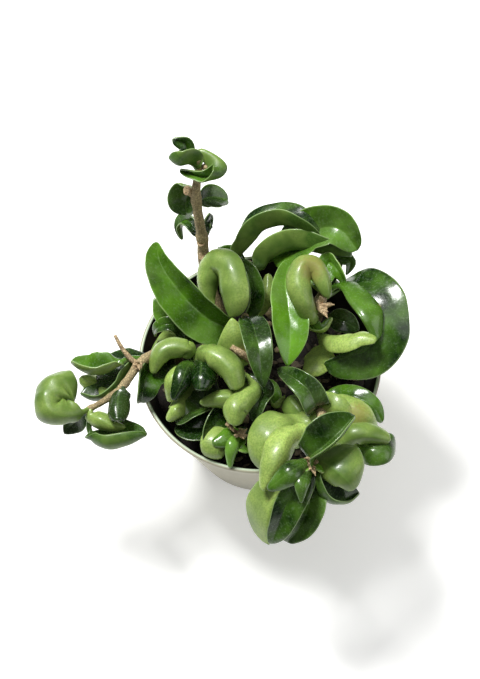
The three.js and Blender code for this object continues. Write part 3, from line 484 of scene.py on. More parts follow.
# plates of cork 2 mm long, and cracks of 0.3 mm, drawn at 0.5 mm so that they show
plates = add(tree, "TexNoise", {"Scale": 420, "Detail": 5, "Roughness": 0.7}, {"Vector": place})
fissures = add(tree, "TexVoronoi", {"feature": "DISTANCE_TO_EDGE", "Scale": 900}, {"Vector": place})
split = add(tree, "MapRange", {"From Max": 0.25, "To Min": 0.45, "To Max": 1},
            {"Value": fissures["Distance"]})
cork, straw = (
    add(tree, "Mix", {"data_type": "RGBA", 6: linear(dark), 7: linear(light)}, {0: plates["Fac"]})[2]
    for dark, light in (("#84724a", "#d3c092"), ("#84521f", "#f2deb2"))
)
shade = add(tree, "Mix", {"data_type": "RGBA"}, {0: dry["Fac"], 6: cork, 7: straw})
shade = add(tree, "Mix", {"data_type": "RGBA", "blend_type": "MULTIPLY", 0: 1}, {6: shade[2], 7: split[0]})
relief = add(tree, "Bump", {"Strength": 0.6, "Distance": 0.0003}, {"Height": split[0]})
dress(tree, shader, {"Roughness": 0.8}, {"Base Color": shade[2], "Normal": relief[0]})

# The leaves: thick, succulent and waxy. Each is folded along its midrib and rolled at the margins, glossy
# green above and pale, matt and stippled beneath; it grew on a short petiole from a node of its stem.
PETIOLE_RADIUS = 1.2
BLADE_THICKNESS = 1.8
CREASE = 0.16
OPENING = 0.12
NECK = 0.25
FLARE = 0.3
THIN_END = 0.55
THIN_MARGIN = 0.4
CLOSEST_BEND = 0.85
LEAF_STEP = 0.75
LEAF_RINGS = (22, 84)
SECTION_STEPS = 30
COLUMNS = [0, 1, 3, 6, 9, 12, 15, 18, 21, 24, 26, 28, 29, 30]
BEND_WINDOW = 5.5 / 96
DENT_DEPTH = 0.16
DENT_WIDTH = 9
WAVE_HEIGHT = 0.3
WAVE_LENGTH = 17
WAVE_START = 0.37
# from this curl on, in degrees, a margin doesn't wave
STILL_CURL = 90
GROOVE_DEPTH = 0.22
GROOVE_WIDTH = 0.7
SOFT_REACH = 1.5
STALK_DRYNESS = 0.8
TIP_DRYNESS = 0.85
# a leaf's seed: so much for each letter of its shoot's name, and so much for its place in the list
LEAF_SEEDS = (17, 3)


def leaf(root, rib, face, width, seed, fold=0, curl=0, twist=0, blunt=0.75, widest=0.85, stalk=0.1,
         tone=0.5):
    """A leaf's skin, with how far each vertex is out from the midrib, along it and under the blade.

    Its fold at the midrib, the curl of its halves and its twist are in degrees. A low blunt makes the
    outline rounder, and a high widest puts its widest place nearer to the tip. Stalk is the share of the
    length without a blade, and tone the depth of its green, from pale at 0 to dark at 1; on leaves that
    lie in shade it is raised as painted shade.
    """
    path = [root, *rib]
    count = int(np.clip(smooth_curve(path, np.array([0.0]))[2] / LEAF_STEP, *LEAF_RINGS))
    all_shares = np.linspace(0, 1, count + 1)
    spots, ahead, length = smooth_curve(path, all_shares)
    normals = facing(spots, ahead, face, twist)
    tip = spots[-1]
    shares, spots = all_shares[:-1], spots[:-1]
    sides = np.cross(ahead, normals)[:-1]
    normals = normals[:-1]
    # how the midrib bends at each ring
    ends = np.clip(shares - BEND_WINDOW, 0, 1), np.clip(shares + BEND_WINDOW, 0, 1)
    before, after = (np.column_stack([np.interp(s, all_shares, way) for way in ahead.T]) for s in ends)
    bend = (after - before) / ((ends[1] - ends[0]) * length)[:, None]
    along = np.maximum(0, (shares - stalk) / (1 - stalk))
    outline = np.sin(math.pi * along**widest) ** blunt
    open_share = np.minimum(1, along / OPENING)[:, None]
    neck = 2 * PETIOLE_RADIUS * np.maximum(0, 1 - along / NECK)
    blade = BLADE_THICKNESS * (THIN_END + (1 - THIN_END) * outline)
    thick = np.where(along > 0, np.maximum(blade, neck), neck)
    outline = outline[:, None]
    flare = PETIOLE_RADIUS * np.maximum(0, 1 - along / FLARE)[:, None]
    halves = width if isinstance(width, list) else [width / 2, width / 2]
    folds, curls = (value if isinstance(value, list) else [value, value] for value in (fold, curl))
    out = np.arange(SECTION_STEPS + 1) / SECTION_STEPS
    halfway = (np.arange(SECTION_STEPS) + 0.5) / SECTION_STEPS
    sheets = []
    for n, hand in ((0, -1), (1, 1)):
        size = np.hypot(halves[n] * outline, flare)
        lift = np.radians(folds[n]) * open_share
        roll = np.radians(curls[n]) * open_share
        angle = lift * np.minimum(1, halfway / CREASE) + roll * halfway
        x = np.cumsum(hand * np.cos(angle) * size / SECTION_STEPS, axis=1)
        y = np.cumsum(np.sin(angle) * size / SECTION_STEPS, axis=1)
        x, y = (np.column_stack([np.zeros(len(v)), v]) for v in (x, y))
        # inside a bend the blade is drawn in, so that it can't pass through itself
        tight = (bend * sides).sum(1)[:, None] * x + (bend * normals).sum(1)[:, None] * y
        drawn = np.minimum(1, CLOSEST_BEND / np.maximum(tight.max(1), 1e-6))[:, None]
        tilt = lift * np.minimum(1, out / CREASE) + roll * out
        flesh = thick[:, None] / 2 * (1 - THIN_MARGIN * out**2) * np.sqrt(np.maximum(0, 1 - out**6))
        middle = spots[:, None] + sides[:, None] * (x * drawn)[..., None]
        middle = middle + normals[:, None] * (y * drawn)[..., None]
        up = normals[:, None] * np.cos(tilt)[..., None] - sides[:, None] * (hand * np.sin(tilt))[..., None]
        # soft dents, a margin that waves a little, and a groove along the midrib
        waves = np.sin(2 * math.pi * (along * (length / WAVE_LENGTH) + WAVE_START * seed + n / 4))[:, None]
        dents = DENT_DEPTH * ripple(middle.reshape(-1, 3), DENT_WIDTH, seed).reshape(x.shape) * outline
        dents = dents + WAVE_HEIGHT * max(0, 1 - abs(curls[n]) / STILL_CURL) * waves * outline * out**3
        groove = GROOVE_DEPTH * np.exp(-((out * size / GROOVE_WIDTH) ** 2)) * outline
        above = middle + up * (flesh + dents - groove)[..., None]
        below = middle - up * (flesh - dents + groove / 2)[..., None]
        sheets.append((above[:, COLUMNS], below[:, COLUMNS]))
    (left_above, left_below), (right_above, right_below) = sheets
    rings = np.concatenate(
        [left_above[:, ::-1], right_above[:, 1:], right_below[:, -2::-1], left_below[:, 1:-1]], axis=1,
    )
    steps = np.array(COLUMNS) / SECTION_STEPS
    out_round = np.concatenate([steps[::-1], steps[1:], steps[-2::-1], steps[1:-1]])
    under = np.concatenate([[0.5], np.zeros(2 * len(steps) - 3), [0.5], np.ones(2 * len(steps) - 3)])
    vertices, faces = skin(rings, spots[0], tip)
    numbers = {
        "out": np.concatenate([[0], np.tile(out_round, len(rings)), [1]]),
        "under": np.concatenate([[0.5], np.tile(under, len(rings)), [0.5]]),
        "along": np.concatenate([[0], np.repeat(along, len(under)), [1]]),
        "tone": np.full(len(vertices), tone),
    }
    return vertices, faces, numbers


# Waxy hoya leaf: the wax above shines like varnish over deep green with lighter dots, faint veins and
# patches of pale bloom with painted sheen, and the underside is yellow-green with darker stipple and a soft
# sheen. The midrib is paler, and the margin is painted paler, partly its own colour and partly a painted
# highlight along its rounded edge.
leaf_skin, tree, shader = new_material("waxy_hoya_leaf")
place = add(tree, "TexCoord")["Object"]
under, out, along, tone, bruise = (
    add(tree, "Attribute", {"attribute_name": key})["Fac"]
    for key in ("under", "out", "along", "tone", "bruise")
)
# clouds of colour 12 mm across, dots of wax 1.2 mm apart, and patches 20 mm across of pale wax bloom and
# painted sheen
clouds = add(tree, "TexNoise", {"Scale": 85, "Detail": 3}, {"Vector": place})["Fac"]
dots = add(tree, "TexNoise", {"Scale": 850, "Detail": 3, "Roughness": 0.6}, {"Vector": place})["Fac"]
stipple = add(tree, "TexNoise", {"Scale": 1300, "Detail": 2}, {"Vector": place})["Fac"]
haze = add(tree, "TexNoise", {"Scale": 50, "Detail": 4, "Roughness": 0.55}, {"Vector": place})["Fac"]
# the depth of green: each leaf's tone, raised on some leaves as painted shade, shifted by clouds of colour
uneven = add(tree, "MapRange", {"From Min": 0.3, "From Max": 0.7, "To Min": -0.14, "To Max": 0.3},
             {"Value": clouds})
depth = add(tree, "Math", {"operation": "ADD", "use_clamp": True}, {0: tone, 1: uneven[0]})
# the pale bloom and painted sheen are thinner on dark leaves
bloom_and_sheen = add(tree, "MapRange", {"From Min": 0.42, "From Max": 0.68, "To Max": 0.4}, {"Value": haze})
thinner = add(tree, "Math", {"operation": "MULTIPLY_ADD", 1: -0.75, 2: 1}, {0: tone})
thinned_bloom_and_sheen = add(tree, "Math", {"operation": "MULTIPLY"}, {0: bloom_and_sheen[0], 1: thinner[0]})
# side veins leave the midrib at a slant, about 5 mm apart
slant = add(tree, "Math", {"operation": "MULTIPLY_ADD", 1: -0.16}, {0: out, 2: along})
vein = add(tree, "Math", {"operation": "PINGPONG", 1: 0.05}, {0: slant[0]})
upper = add(tree, "Mix", {"data_type": "RGBA", 6: linear("#6ca326"), 7: linear("#0a2402")}, {0: depth[0]})[2]
upper = over(tree, upper, dots, (0.54, 0.75), (0, 0.16), "#8fa883")
# painted sheen: grey-green patches over the upper side, partly wax bloom and partly the broad sheen of the
# lamps
upper = over(tree, upper, thinned_bloom_and_sheen[0], (0, 1), (0, 1), "#8fb062")
upper = over(tree, upper, vein[0], (0, 0.009), (0.07, 0), "#79a64e")
# the underside darkens in the same patches
worn = add(tree, "Math", {"operation": "MULTIPLY_ADD", 1: 0.6, "use_clamp": True},
           {0: bloom_and_sheen[0], 2: depth[0]})
lower = add(tree, "Mix", {"data_type": "RGBA", 6: linear("#b0c868"), 7: linear("#3a5a1a")}, {0: worn[0]})[2]
lower = over(tree, lower, stipple, (0.42, 0.62), (0, 0.45), "#58752f")
# both sides have the pale midrib, a paler margin that is partly a painted highlight along its rounded edge,
# and bruises, brown and dry, that the dots break up
bruised = add(tree, "Math", {"operation": "MULTIPLY"}, {0: bruise, 1: dots})
shade = add(tree, "Mix", {"data_type": "RGBA"}, {0: under, 6: upper, 7: lower})[2]
# painted highlight, in part: the outermost margin painted paler
shade = over(tree, shade, out, (0.95, 1), (0, 0.55), "#a9c383")
shade = over(tree, shade, out, (0, 0.06), (0.14, 0), "#8ab35a")
shade = over(tree, shade, bruised[0], (0.05, 0.3), (0, 0.8), "#8c8746")
gloss = add(tree, "MapRange", {"To Min": 0.2, "To Max": 0.36}, {"Value": under})
matt = add(tree, "MapRange", {"From Min": 0.35, "From Max": 0.75, "To Max": 0.14}, {"Value": dots})
gloss = add(tree, "Math", {"operation": "ADD"}, {0: gloss[0], 1: matt[0]})
fine = add(tree, "Bump", {"Strength": 0.3, "Distance": 0.00015}, {"Height": stipple})
relief = add(tree, "Bump", {"Strength": 0.5, "Distance": 0.0007}, {"Height": clouds, "Normal": fine[0]})
dress(tree, shader, {
    "IOR": 1.42, "Coat Weight": 0.2, "Coat Roughness": 0.12,
    "Subsurface Weight": 0.08, "Subsurface Radius": (0.3, 1, 0.1), "Subsurface Scale": 0.0015,
}, {"Base Color": shade, "Roughness": gloss[0], "Normal": relief[0]})


def join(parts):
    """Several skins as one: their vertices, faces and numbers end to end."""
    vertices, faces, numbers, done = [], [], {}, 0
    for part_vertices, part_faces, part_numbers in parts:
        vertices.append(part_vertices)
        faces += [[v + done for v in face] for face in part_faces]
        done += len(part_vertices)
        for key, values in part_numbers.items():
            numbers.setdefault(key, []).append(values)
    return np.vstack(vertices), faces, {key: np.concatenate(values) for key, values in numbers.items()}


def drawn_in(vertices):
    """Leaf tips drawn in softly over the last few millimetres, so that the plant stays inside its box."""
    low, high = np.array(cad_box) * 1000
    vertices = vertices.copy()
    limits = ((0, -1, low[0]), (0, 1, high[0]), (1, -1, low[1]), (1, 1, high[1]), (2, 1, high[2]))
    for axis, way, limit in limits:
        past = way * (vertices[:, axis] - limit) + SOFT_REACH
        drawn = limit - way * SOFT_REACH * np.exp(-past / SOFT_REACH)
        vertices[:, axis] = np.where(past > 0, drawn, vertices[:, axis])
    return vertices


def shoot(node, foot, path, radii, leaves, stubs=(), marks=(), tufts=(), bruises=()):
    """A leafy shoot in two pieces, its wood and its leaves, which stand for one solid.

    Its stem stands in the mix at its foot and follows its path. A leaf is the share of the stem's length at
    which it grows, its midrib, the way that it faces, its width or the widths of its halves, and its form.
    A stub is the path and the radii of a dried flower stalk. A mark is a leaf scar: its place, the way that
    it faces and its radius. A tuft is a growing tip: its place, its way, its size and its number of scales.
    A bruise is a place on the leaves, and how far it reaches.
    """
    path = [[*foot, height] for height in FOOT_HEIGHTS] + path
    wood = [(twig(path, radii, sorted({share for share, *_ in leaves.values()}), BARK_SEED), 0)]
    wood += [(twig(*stub, [], BARK_SEED + 1 + n), STALK_DRYNESS) for n, stub in enumerate(stubs)]
    wood += [(scar(*mark, SCAR_SEED + n), 1) for n, mark in enumerate(marks)]
    for n, tuft in enumerate(tufts):
        wood += [(part, TIP_DRYNESS) for part in scales(*tuft, TIP_SEED + n)]
    wood = [(*part, {"dry": np.full(len(part[0]), dryness)}) for part, dryness in wood]
    stems = piece(node.replace("_shoot", "_stems"), *join(wood), bark)
    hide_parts(node)
    blades = []
    for n, (share, rib, face, width, form) in enumerate(leaves.values()):
        root = smooth_curve(path, np.array([share]))[0][0]
        seed = len(node) * LEAF_SEEDS[0] + n * LEAF_SEEDS[1]
        blades.append(leaf(root, rib, face, width, seed, **form))
    vertices, faces, numbers = join(blades)
    vertices = drawn_in(vertices)
    numbers["bruise"] = np.zeros(len(vertices))
    for at, radius in bruises:
        near = 1 - np.linalg.norm(vertices - at, axis=1) / radius
        numbers["bruise"] = np.maximum(numbers["bruise"], near)
    foliage = piece(node.replace("_shoot", "_leaves"), vertices, faces, numbers, leaf_skin)
    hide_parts(node)


# The tall shoot: the one straight old stem, rooted in the mix at the back left, with a knot of young leaves
# round its growing tip. A dried flower stalk broke off just below them, and the top leaf hooks over.
shoot(
    "tall_shoot",
    foot=[-16, 27],
    path=[[-22, 42, 84], [-22, 46, 98], [-23, 53, 126], [-21, 57, 137], [-21, 58, 142]],
    radii=[2.6, 2.6, 2.5, 2.6, 2.2, 2, 1.2],
    leaves={
        "tip leaf": [0.97, [[-25, 60, 144], [-26, 62.5, 147], [-31, 63, 150]],
            [0.1, -0.3, 1], 7.5, dict(fold=20, curl=15, blunt=0.45, stalk=0.2, tone=0.85)],
        "top boat": [0.95, [[-24.5, 57.5, 141], [-29, 56, 143], [-33, 59, 144]],
            [0.1, 0.5, 0.85], [8, 6], dict(fold=[65, 40], curl=15, blunt=0.5, tone=0.75)],
        "top hook": [0.97, [[-20, 61.5, 143], [-14.5, 58.5, 143], [-10, 54, 141], [-12.5, 51.5, 139],
            [-19, 52, 138], [-29, 56.5, 138]],
            [-0.7, 0, -0.7], 12, dict(fold=50, curl=35, twist=[0, 0, -50, -130, -150], blunt=0.5, tone=0.7)],
        "left round leaf": [0.82, [[-24, 57.5, 122], [-27.5, 56.5, 117], [-28, 52, 111]],
            [0.2, -0.3, 0.9], 19, dict(fold=25, curl=25, blunt=0.45, tone=0.7)],
        "right dark leaf": [0.8, [[-16.5, 57, 116], [-9.5, 58, 112]],
            [0, -0.3, 1], [6, 8], dict(fold=25, curl=15, blunt=0.5, tone=0.85)],
        "small left leaf": [0.6, [[-28, 57.5, 99], [-31.5, 57.5, 95], [-31.5, 53, 90]],
            [-0.3, -0.3, 0.9], 9, dict(fold=35, curl=30, blunt=0.5, tone=0.85)],
        "small right leaf": [0.62, [[-19, 55, 102], [-20, 50, 96]],
            [0.9, -0.2, 0.3], 8, dict(fold=20, curl=10, tone=0.9)],
    },
    stubs=[[[[-23, 53, 123], [-25, 54, 125], [-27, 54, 127]], [1.8, 1.8, 1.5]]],
    marks=[
        [[-22.7, 44.6, 100], [0, -0.5, 0.86], 1.7],
        [[-22.4, 42, 93], [0, -0.6, 0.8], 1.9],
        [[-26.6, 53.6, 127], [-0.7, -0.3, 0.6], 1.9],
    ],
    tufts=[[[-19, 57, 138], [0.8, -0.4, 0.5], 4.5, 9]],
)

# The left back shoot: a short woody stem rooted behind the middle. Its long leaf lies flat and shows its
# whole glossy face, and the next one has curled over so far that only its pale underside shows.
shoot(
    "left_back_shoot",
    foot=[-8, 16],
    path=[[-8, 14, 76], [-5, 13, 88]],
    radii=[2.3, 2.3, 2, 1.4],
    leaves={
        "long flat leaf": [0.62, [[-14, 12, 80], [-23, 14, 88], [-33.5, 22, 98], [-40.5, 32.5, 104],
            [-42, 42, 107]],
            [0, -0.2, 1], [14, 10], dict(fold=[14, 45], curl=[25, 25], blunt=0.62, stalk=0.08, tone=0.62)],
        "big pale curl": [0.8, [[-19.5, 16.5, 86], [-22, 22.5, 92], [-22, 27.5, 97], [-19, 31.5, 101],
            [-15, 28.5, 103], [-14, 21.5, 102], [-13, 15.5, 99], [-11.5, 9.5, 93]],
            [0.1, 0.2, -1], [16, 12], dict(fold=12, curl=75, blunt=0.38, widest=2.1, stalk=0.22, tone=0.45)],
        "narrow boat": [0.7, [[-2.5, 22, 78], [-0.5, 27, 84], [-2, 34.5, 88], [-6.5, 42, 89]],
            [0.3, -0.4, 0.85], 11, dict(fold=[45, 40], curl=20, blunt=0.5, tone=0.85)],
        "dark middle leaf": [0.97, [[-2.5, 3.5, 97], [-0.5, -11, 101], [0.5, -24, 92]],
            [0.1, -0.3, 1], 13.5, dict(fold=14, curl=12, stalk=0.06, blunt=0.65, tone=0.9)],
        "small bright leaf": [0.75, [[2.5, 25.5, 74], [5, 28.5, 78], [6.5, 39, 80]],
            [0, 0.4, -0.9], 10, dict(fold=10, curl=60, blunt=0.45, stalk=0.3, tone=0.15)],
    },
)

# The back shoot: a short stem rooted by the back wall of the pot. Two of its leaves arch over the rim one
# above the other, folded along their midribs, and a glossy one turns away behind them.
shoot(
    "back_shoot",
    foot=[-2, 38],
    path=[[-3, 44, 70], [-2, 47, 78]],
    radii=[2.3, 2.3, 2, 1.4],
    leaves={
        # painted shade, in part: the arches' dark tones give deep green above and darken their undersides
        # for the shade they lie in
        "upper arch": [0.9, [[-6, 48, 82], [-1, 50.5, 88], [4.5, 54, 93], [13.5, 55, 96], [22, 51, 97],
            [31, 46.5, 93]],
            [0, 0.45, 0.9], [13, 10], dict(fold=[15, 75], curl=15, blunt=0.55, tone=0.85)],
        "lower arch": [0.95, [[4, 42, 80], [8, 45, 84], [19.5, 46.5, 88], [32, 42, 90], [44.5, 40.5, 88]],
            [0.1, 0.6, 0.8], [12, 11], dict(fold=[30, 75], curl=12, blunt=0.5, tone=0.75)],
        "glossy back leaf": [0.95, [[17, 47, 84], [28, 52, 92], [38.5, 49, 98], [46.5, 39.5, 94]],
            [0.1, 0, 1], 23, dict(fold=[15, 25], curl=20, blunt=0.45, stalk=0.2, tone=0.55)],
        "small back tip": [0.8, [[-7, 49, 78], [-9, 52, 80], [-16, 53, 82]],
            [0, -0.2, 1], 7, dict(fold=20, curl=20, tone=0.7)],
    },
)

# The right shoot: rooted at the back right. It has a hooked pale leaf, a long bright one that points to the
# front, and a big dark one bent round into a ring over the right rim. The stub of a flower stalk ends in a
# dry brown tuft.
shoot(
    "right_shoot",
    foot=[27, 24],
    path=[[28, 22, 72], [28, 20, 83], [30, 22, 92]],
    radii=[2.6, 2.6, 2.6, 2.6, 1.6],
    leaves={
        "pale hook": [0.5, [[23.5, 7, 90], [21, 9, 99], [19, 14, 104], [18.5, 21, 106], [21.5, 27, 107],
            [27, 26, 106], [30, 20, 103], [31, 13.5, 98]],
            [0, 0.4, -0.9], 18, dict(fold=10, curl=90, blunt=0.45, widest=1.25, stalk=0.2, tone=0.4)],
        "long bright leaf": [0.95, [[20, 34, 88], [16, 35.5, 91], [13, 25, 92], [13.5, 13.5, 92],
            [13.5, 1.5, 90], [11.5, -11.5, 85]],
            [0.1, -0.4, 0.9], [9.5, 9.5],
            dict(fold=20, curl=20, stalk=0.12, blunt=0.8, widest=1.6, tone=0.3)],
        "big ring leaf": [0.85, [[38, 26.5, 84], [45, 22, 92], [50.5, 11.5, 95], [51.5, 1.5, 93],
            [46.5, -6, 88], [37, -8, 84], [27.5, -9, 81]],
            [0.1, -0.5, 0.9], [14, 3], dict(fold=[8, 10], curl=[12, 10], blunt=0.38, widest=1.05, tone=0.8)],
        "pale flap": [0.45, [[29, 4, 80], [32.5, -3, 89], [37.5, -5, 93], [43, -5, 96], [49.5, -7.5, 97]],
            [0, 0.5, -0.9], [5, 6], dict(fold=10, curl=25, stalk=0.4, blunt=0.45, widest=1.2, tone=0.15)],
        "small cup": [0.75, [[23, 14.5, 82], [23.5, 9, 81], [29, 7, 82], [33, 12, 84]],
            [0, 0.5, 0.85], 9, dict(fold=45, curl=20, blunt=0.5, tone=0.2)],
        # painted shade: this leaf is toned near the darkest, for the shade inside the ring leaf
        "pale inner leaf": [0.6, [[34.5, 17, 74], [39.5, 14, 75], [45.5, 10, 74]],
            [0, -0.4, 0.9], 11, dict(fold=10, curl=15, stalk=0.25, tone=0.95)],
        "speckled strip": [0.9, [[34, 38, 88], [38, 31, 90], [40, 26, 86]],
            [0.2, -0.1, 1], 11, dict(fold=20, curl=20)],
        "small dark leaf": [0.85, [[38, 43, 82.5], [43.5, 41, 82.5], [42, 37, 77]],
            [0.2, -0.3, 0.9], 10, dict(fold=20, curl=20, tone=0.85)],
        "pale floor leaf": [0.42, [[28, 3.5, 70], [24.5, -5, 75], [19.5, -9.5, 74]],
            [0, 0.5, -0.9], 15, dict(fold=10, curl=15, stalk=0.5, blunt=0.42, tone=0.1)],
        "inner sheet": [0.88, [[36.5, 23.5, 91], [41, 11.5, 97], [45, 2, 99], [49.5, -6, 93]],
            [-0.1, -0.3, 0.95], [11, 1.5],
            dict(fold=[-10, 0], curl=[-30, 0], blunt=0.4, widest=1.05, tone=0.6)],
    },
    stubs=[[[[29, 20, 86], [28, 16, 90], [28, 12, 93]], [1.8, 2.3, 2.4, 1.4]]],
    marks=[[[28.5, 11.5, 94], [0.1, -0.5, 0.85], 1.8]],
    tufts=[[[27, 12, 93], [0.5, -0.5, 0.7], 5.5, 12]],
    bruises=[
        # the first browns the hollow inside the pale hook; the second is a tan dot on the ring leaf
        [[24, 25, 105], 8.5],
        [[52, 9, 96], 1.8],
    ],
)

# The centre shoot: rooted in the middle of the pot, with short pale leaves that curl over one another, a
# dark one beside them and the stub of a dried flower stalk.
shoot(
    "centre_shoot",
    foot=[-9, -2],
    path=[[-9, -7, 72], [-8, -11, 82]],
    radii=[2.4, 2.4, 2, 1.4],
    leaves={
        "pale point": [0.6, [[-8.5, -8, 84], [-9.5, -5.5, 90], [-10.5, -1.5, 96], [-11, 6, 100]],
            [0, 0.5, -0.9], 19, dict(fold=8, curl=18, widest=0.55, stalk=0.42, tone=0.35)],
        "pale band": [0.8, [[-7, -20.5, 84], [-12, -24.5, 86], [-19, -24.5, 86], [-27, -25, 83]],
            [0, 0.4, -1], 15, dict(fold=20, curl=60, blunt=0.5, widest=0.9, tone=0.4)],
        "pale twist": [0.95, [[-2, -21.5, 88], [-7, -27, 91], [-11, -32.5, 92], [-12.5, -39, 88]],
            [0.2, 0.4, -0.9], 16, dict(fold=12, curl=70, widest=2.1, blunt=0.4, stalk=0.12, tone=0.4)],
        "bright cup": [0.6, [[3, -13, 70], [6, -24, 72], [10, -20, 75]],
            [0.1, 0.5, 0.9], 9, dict(fold=40, curl=20, stalk=0.3, tone=0.1)],
        "dark side leaf": [0.95, [[0.5, -21, 82], [-2, -28, 84], [-4.5, -34, 80]],
            [0.1, -0.4, 0.9], 11, dict(fold=25, curl=20, blunt=0.5, tone=0.95)],
    },
    stubs=[[[[-12, -4.5, 93.5], [-8.5, -6.5, 91.5], [-4, -8, 86]], [1.2, 1.7, 1.3]]],
    bruises=[[[-8, -3, 90], 5]],
)

# The left inner shoot: rooted left of the middle. It has two leaves rolled like sausages, with small glossy
# and pale ones packed under them inside the left rim.
shoot(
    "left_inner_shoot",
    foot=[-25, 3],
    path=[[-27, 0, 74], [-28, -3, 86]],
    radii=[2.3, 2.3, 2, 1.4],
    leaves={
        "left roll": [0.97, [[-30, -4, 92], [-34, -3, 93], [-40, -3.5, 93], [-44, -7, 91],
            [-46.5, -11.5, 86]],
            [0.1, 0.4, -0.9], 18, dict(fold=10, curl=110, blunt=0.5, tone=0.45)],
        "right roll": [0.97, [[-23, -7.5, 96], [-17, -12.5, 98], [-12.5, -18, 97], [-10.5, -24.5, 92]],
            [0, 0.4, -0.9], 29, dict(fold=10, curl=140, blunt=0.3, widest=1.25, stalk=0.04, tone=0.45)],
        "dark blade": [0.85, [[-31.5, -12.5, 91], [-34, -19, 91], [-38, -24.5, 86]],
            [0.1, -0.4, 0.9], [6, 5], dict(fold=-10, curl=-50, blunt=0.45, stalk=0.15, tone=0.9)],
        "pale blade": [0.75, [[-34.5, -11, 88], [-39, -16.5, 88], [-40, -22.5, 80]],
            [0.3, 0.3, -0.9], 11, dict(fold=15, curl=50, blunt=0.42, tone=0.25)],
        "glossy bud leaf": [0.85, [[-25, -11, 92], [-25.5, -18.5, 95], [-26, -24.5, 94]],
            [0, -0.3, 0.9], 24, dict(fold=-15, curl=-95, blunt=0.32, stalk=0.02, tone=1)],
        "low pale leaf": [0.6, [[-35, -21.5, 77], [-37.5, -26, 79], [-41.5, -29, 75]],
            [0, 0.4, -0.9], 11, dict(fold=15, curl=50, stalk=0.4, blunt=0.42, tone=0.3)],
        "low dark leaf": [0.55, [[-26, -20.5, 72], [-31.5, -26.5, 76], [-38, -29.5, 73]],
            [0, -0.4, 0.9], 15, dict(fold=20, curl=15, stalk=0.15, blunt=0.5, tone=0.9)],
        "wall hook": [0.8, [[-34, 10, 80], [-38, 13, 84], [-44, 13, 82], [-46, 12, 76]],
            [0, 0.1, 1], 8, dict(fold=20, curl=20, stalk=0.25, tone=0.8)],
        "wall strip": [0.7, [[-38, 15, 70], [-43, 10, 72], [-49, 4, 72]],
            [0, 0.5, -0.9], 8, dict(fold=15, curl=20, stalk=0.3)],
        "rim leaf": [0.75, [[-33, 13, 78], [-42, 18, 84], [-45, 25, 88]],
            [0, -0.5, 0.9], 9, dict(fold=20, curl=20, stalk=0.3, tone=0.6)],
        "small dark leaf": [0.6, [[-34, 11, 68], [-30, 12, 72], [-23, 11, 70]],
            [0, -0.5, 0.9], 7, dict(fold=20, curl=20, stalk=0.3, tone=0.9)],
    },
)

# The front inner shoot: a thinner stem rooted near the front, with dark low leaves, a small bright rosette
# against the front rim and a dried stalk that stands over them.
shoot(
    "front_inner_shoot",
    foot=[-13, -28],
    path=[[-12, -32, 66], [-10, -34, 71]],
    radii=[2, 2, 1.7, 1.3],
    leaves={
        "long dark leaf": [0.7, [[-16, -27, 73], [-20, -31, 76], [-23, -36.5, 76], [-24, -41.5, 73]],
            [0.3, -0.4, 0.9], [5, 7.5], dict(fold=20, curl=20, blunt=0.5, tone=0.95)],
        "rosette cup": [0.97, [[-15.5, -38.5, 76], [-19, -41.5, 78], [-20.5, -45, 77], [-18.5, -46.5, 73]],
            [0.1, 0.4, -0.9], 19, dict(fold=10, curl=50, blunt=0.4, tone=0.25)],
        "rosette blade": [0.97, [[-13, -42, 80], [-14.5, -46.5, 79], [-15.5, -51.5, 73]],
            [0.2, -0.3, 0.9], 6.5, dict(fold=-10, curl=-40, blunt=0.5, tone=0.3)],
        "rosette side leaf": [0.9, [[-11, -44, 76], [-6.5, -45, 74]],
            [0, -0.5, 0.9], 8, dict(fold=20, curl=20, tone=0.2)],
        "dark rim leaf": [0.6, [[-18, -29, 66], [-25, -30.5, 69], [-31.5, -31, 70], [-37, -26.5, 68]],
            [0.3, 0.2, 0.9], [9, 7], dict(fold=15, curl=10, blunt=0.5, stalk=0.15, tone=1.2)],
        "low dark leaf": [0.6, [[-12, -34, 68], [-8, -35, 70], [-4, -35, 68]],
            [0, -0.3, 1], 8, dict(fold=20, curl=15, tone=0.85)],
        "rosette leaf": [0.97, [[-15.5, -40, 80], [-22.5, -43, 80]],
            [0, -0.3, 0.95], 9, dict(fold=-10, curl=-30, blunt=0.45)],
    },
    stubs=[[[[-10, -34, 70], [-12, -37, 77], [-16, -35, 82]], [0.9, 0.9, 0.7]]],
    tufts=[
        [[-15, -35, 82], [0.2, -0.2, 0.9], 4.5, 7],
        [[-11, -37.5, 79], [0.9, -0.3, 0.3], 5, 5],
    ],
)

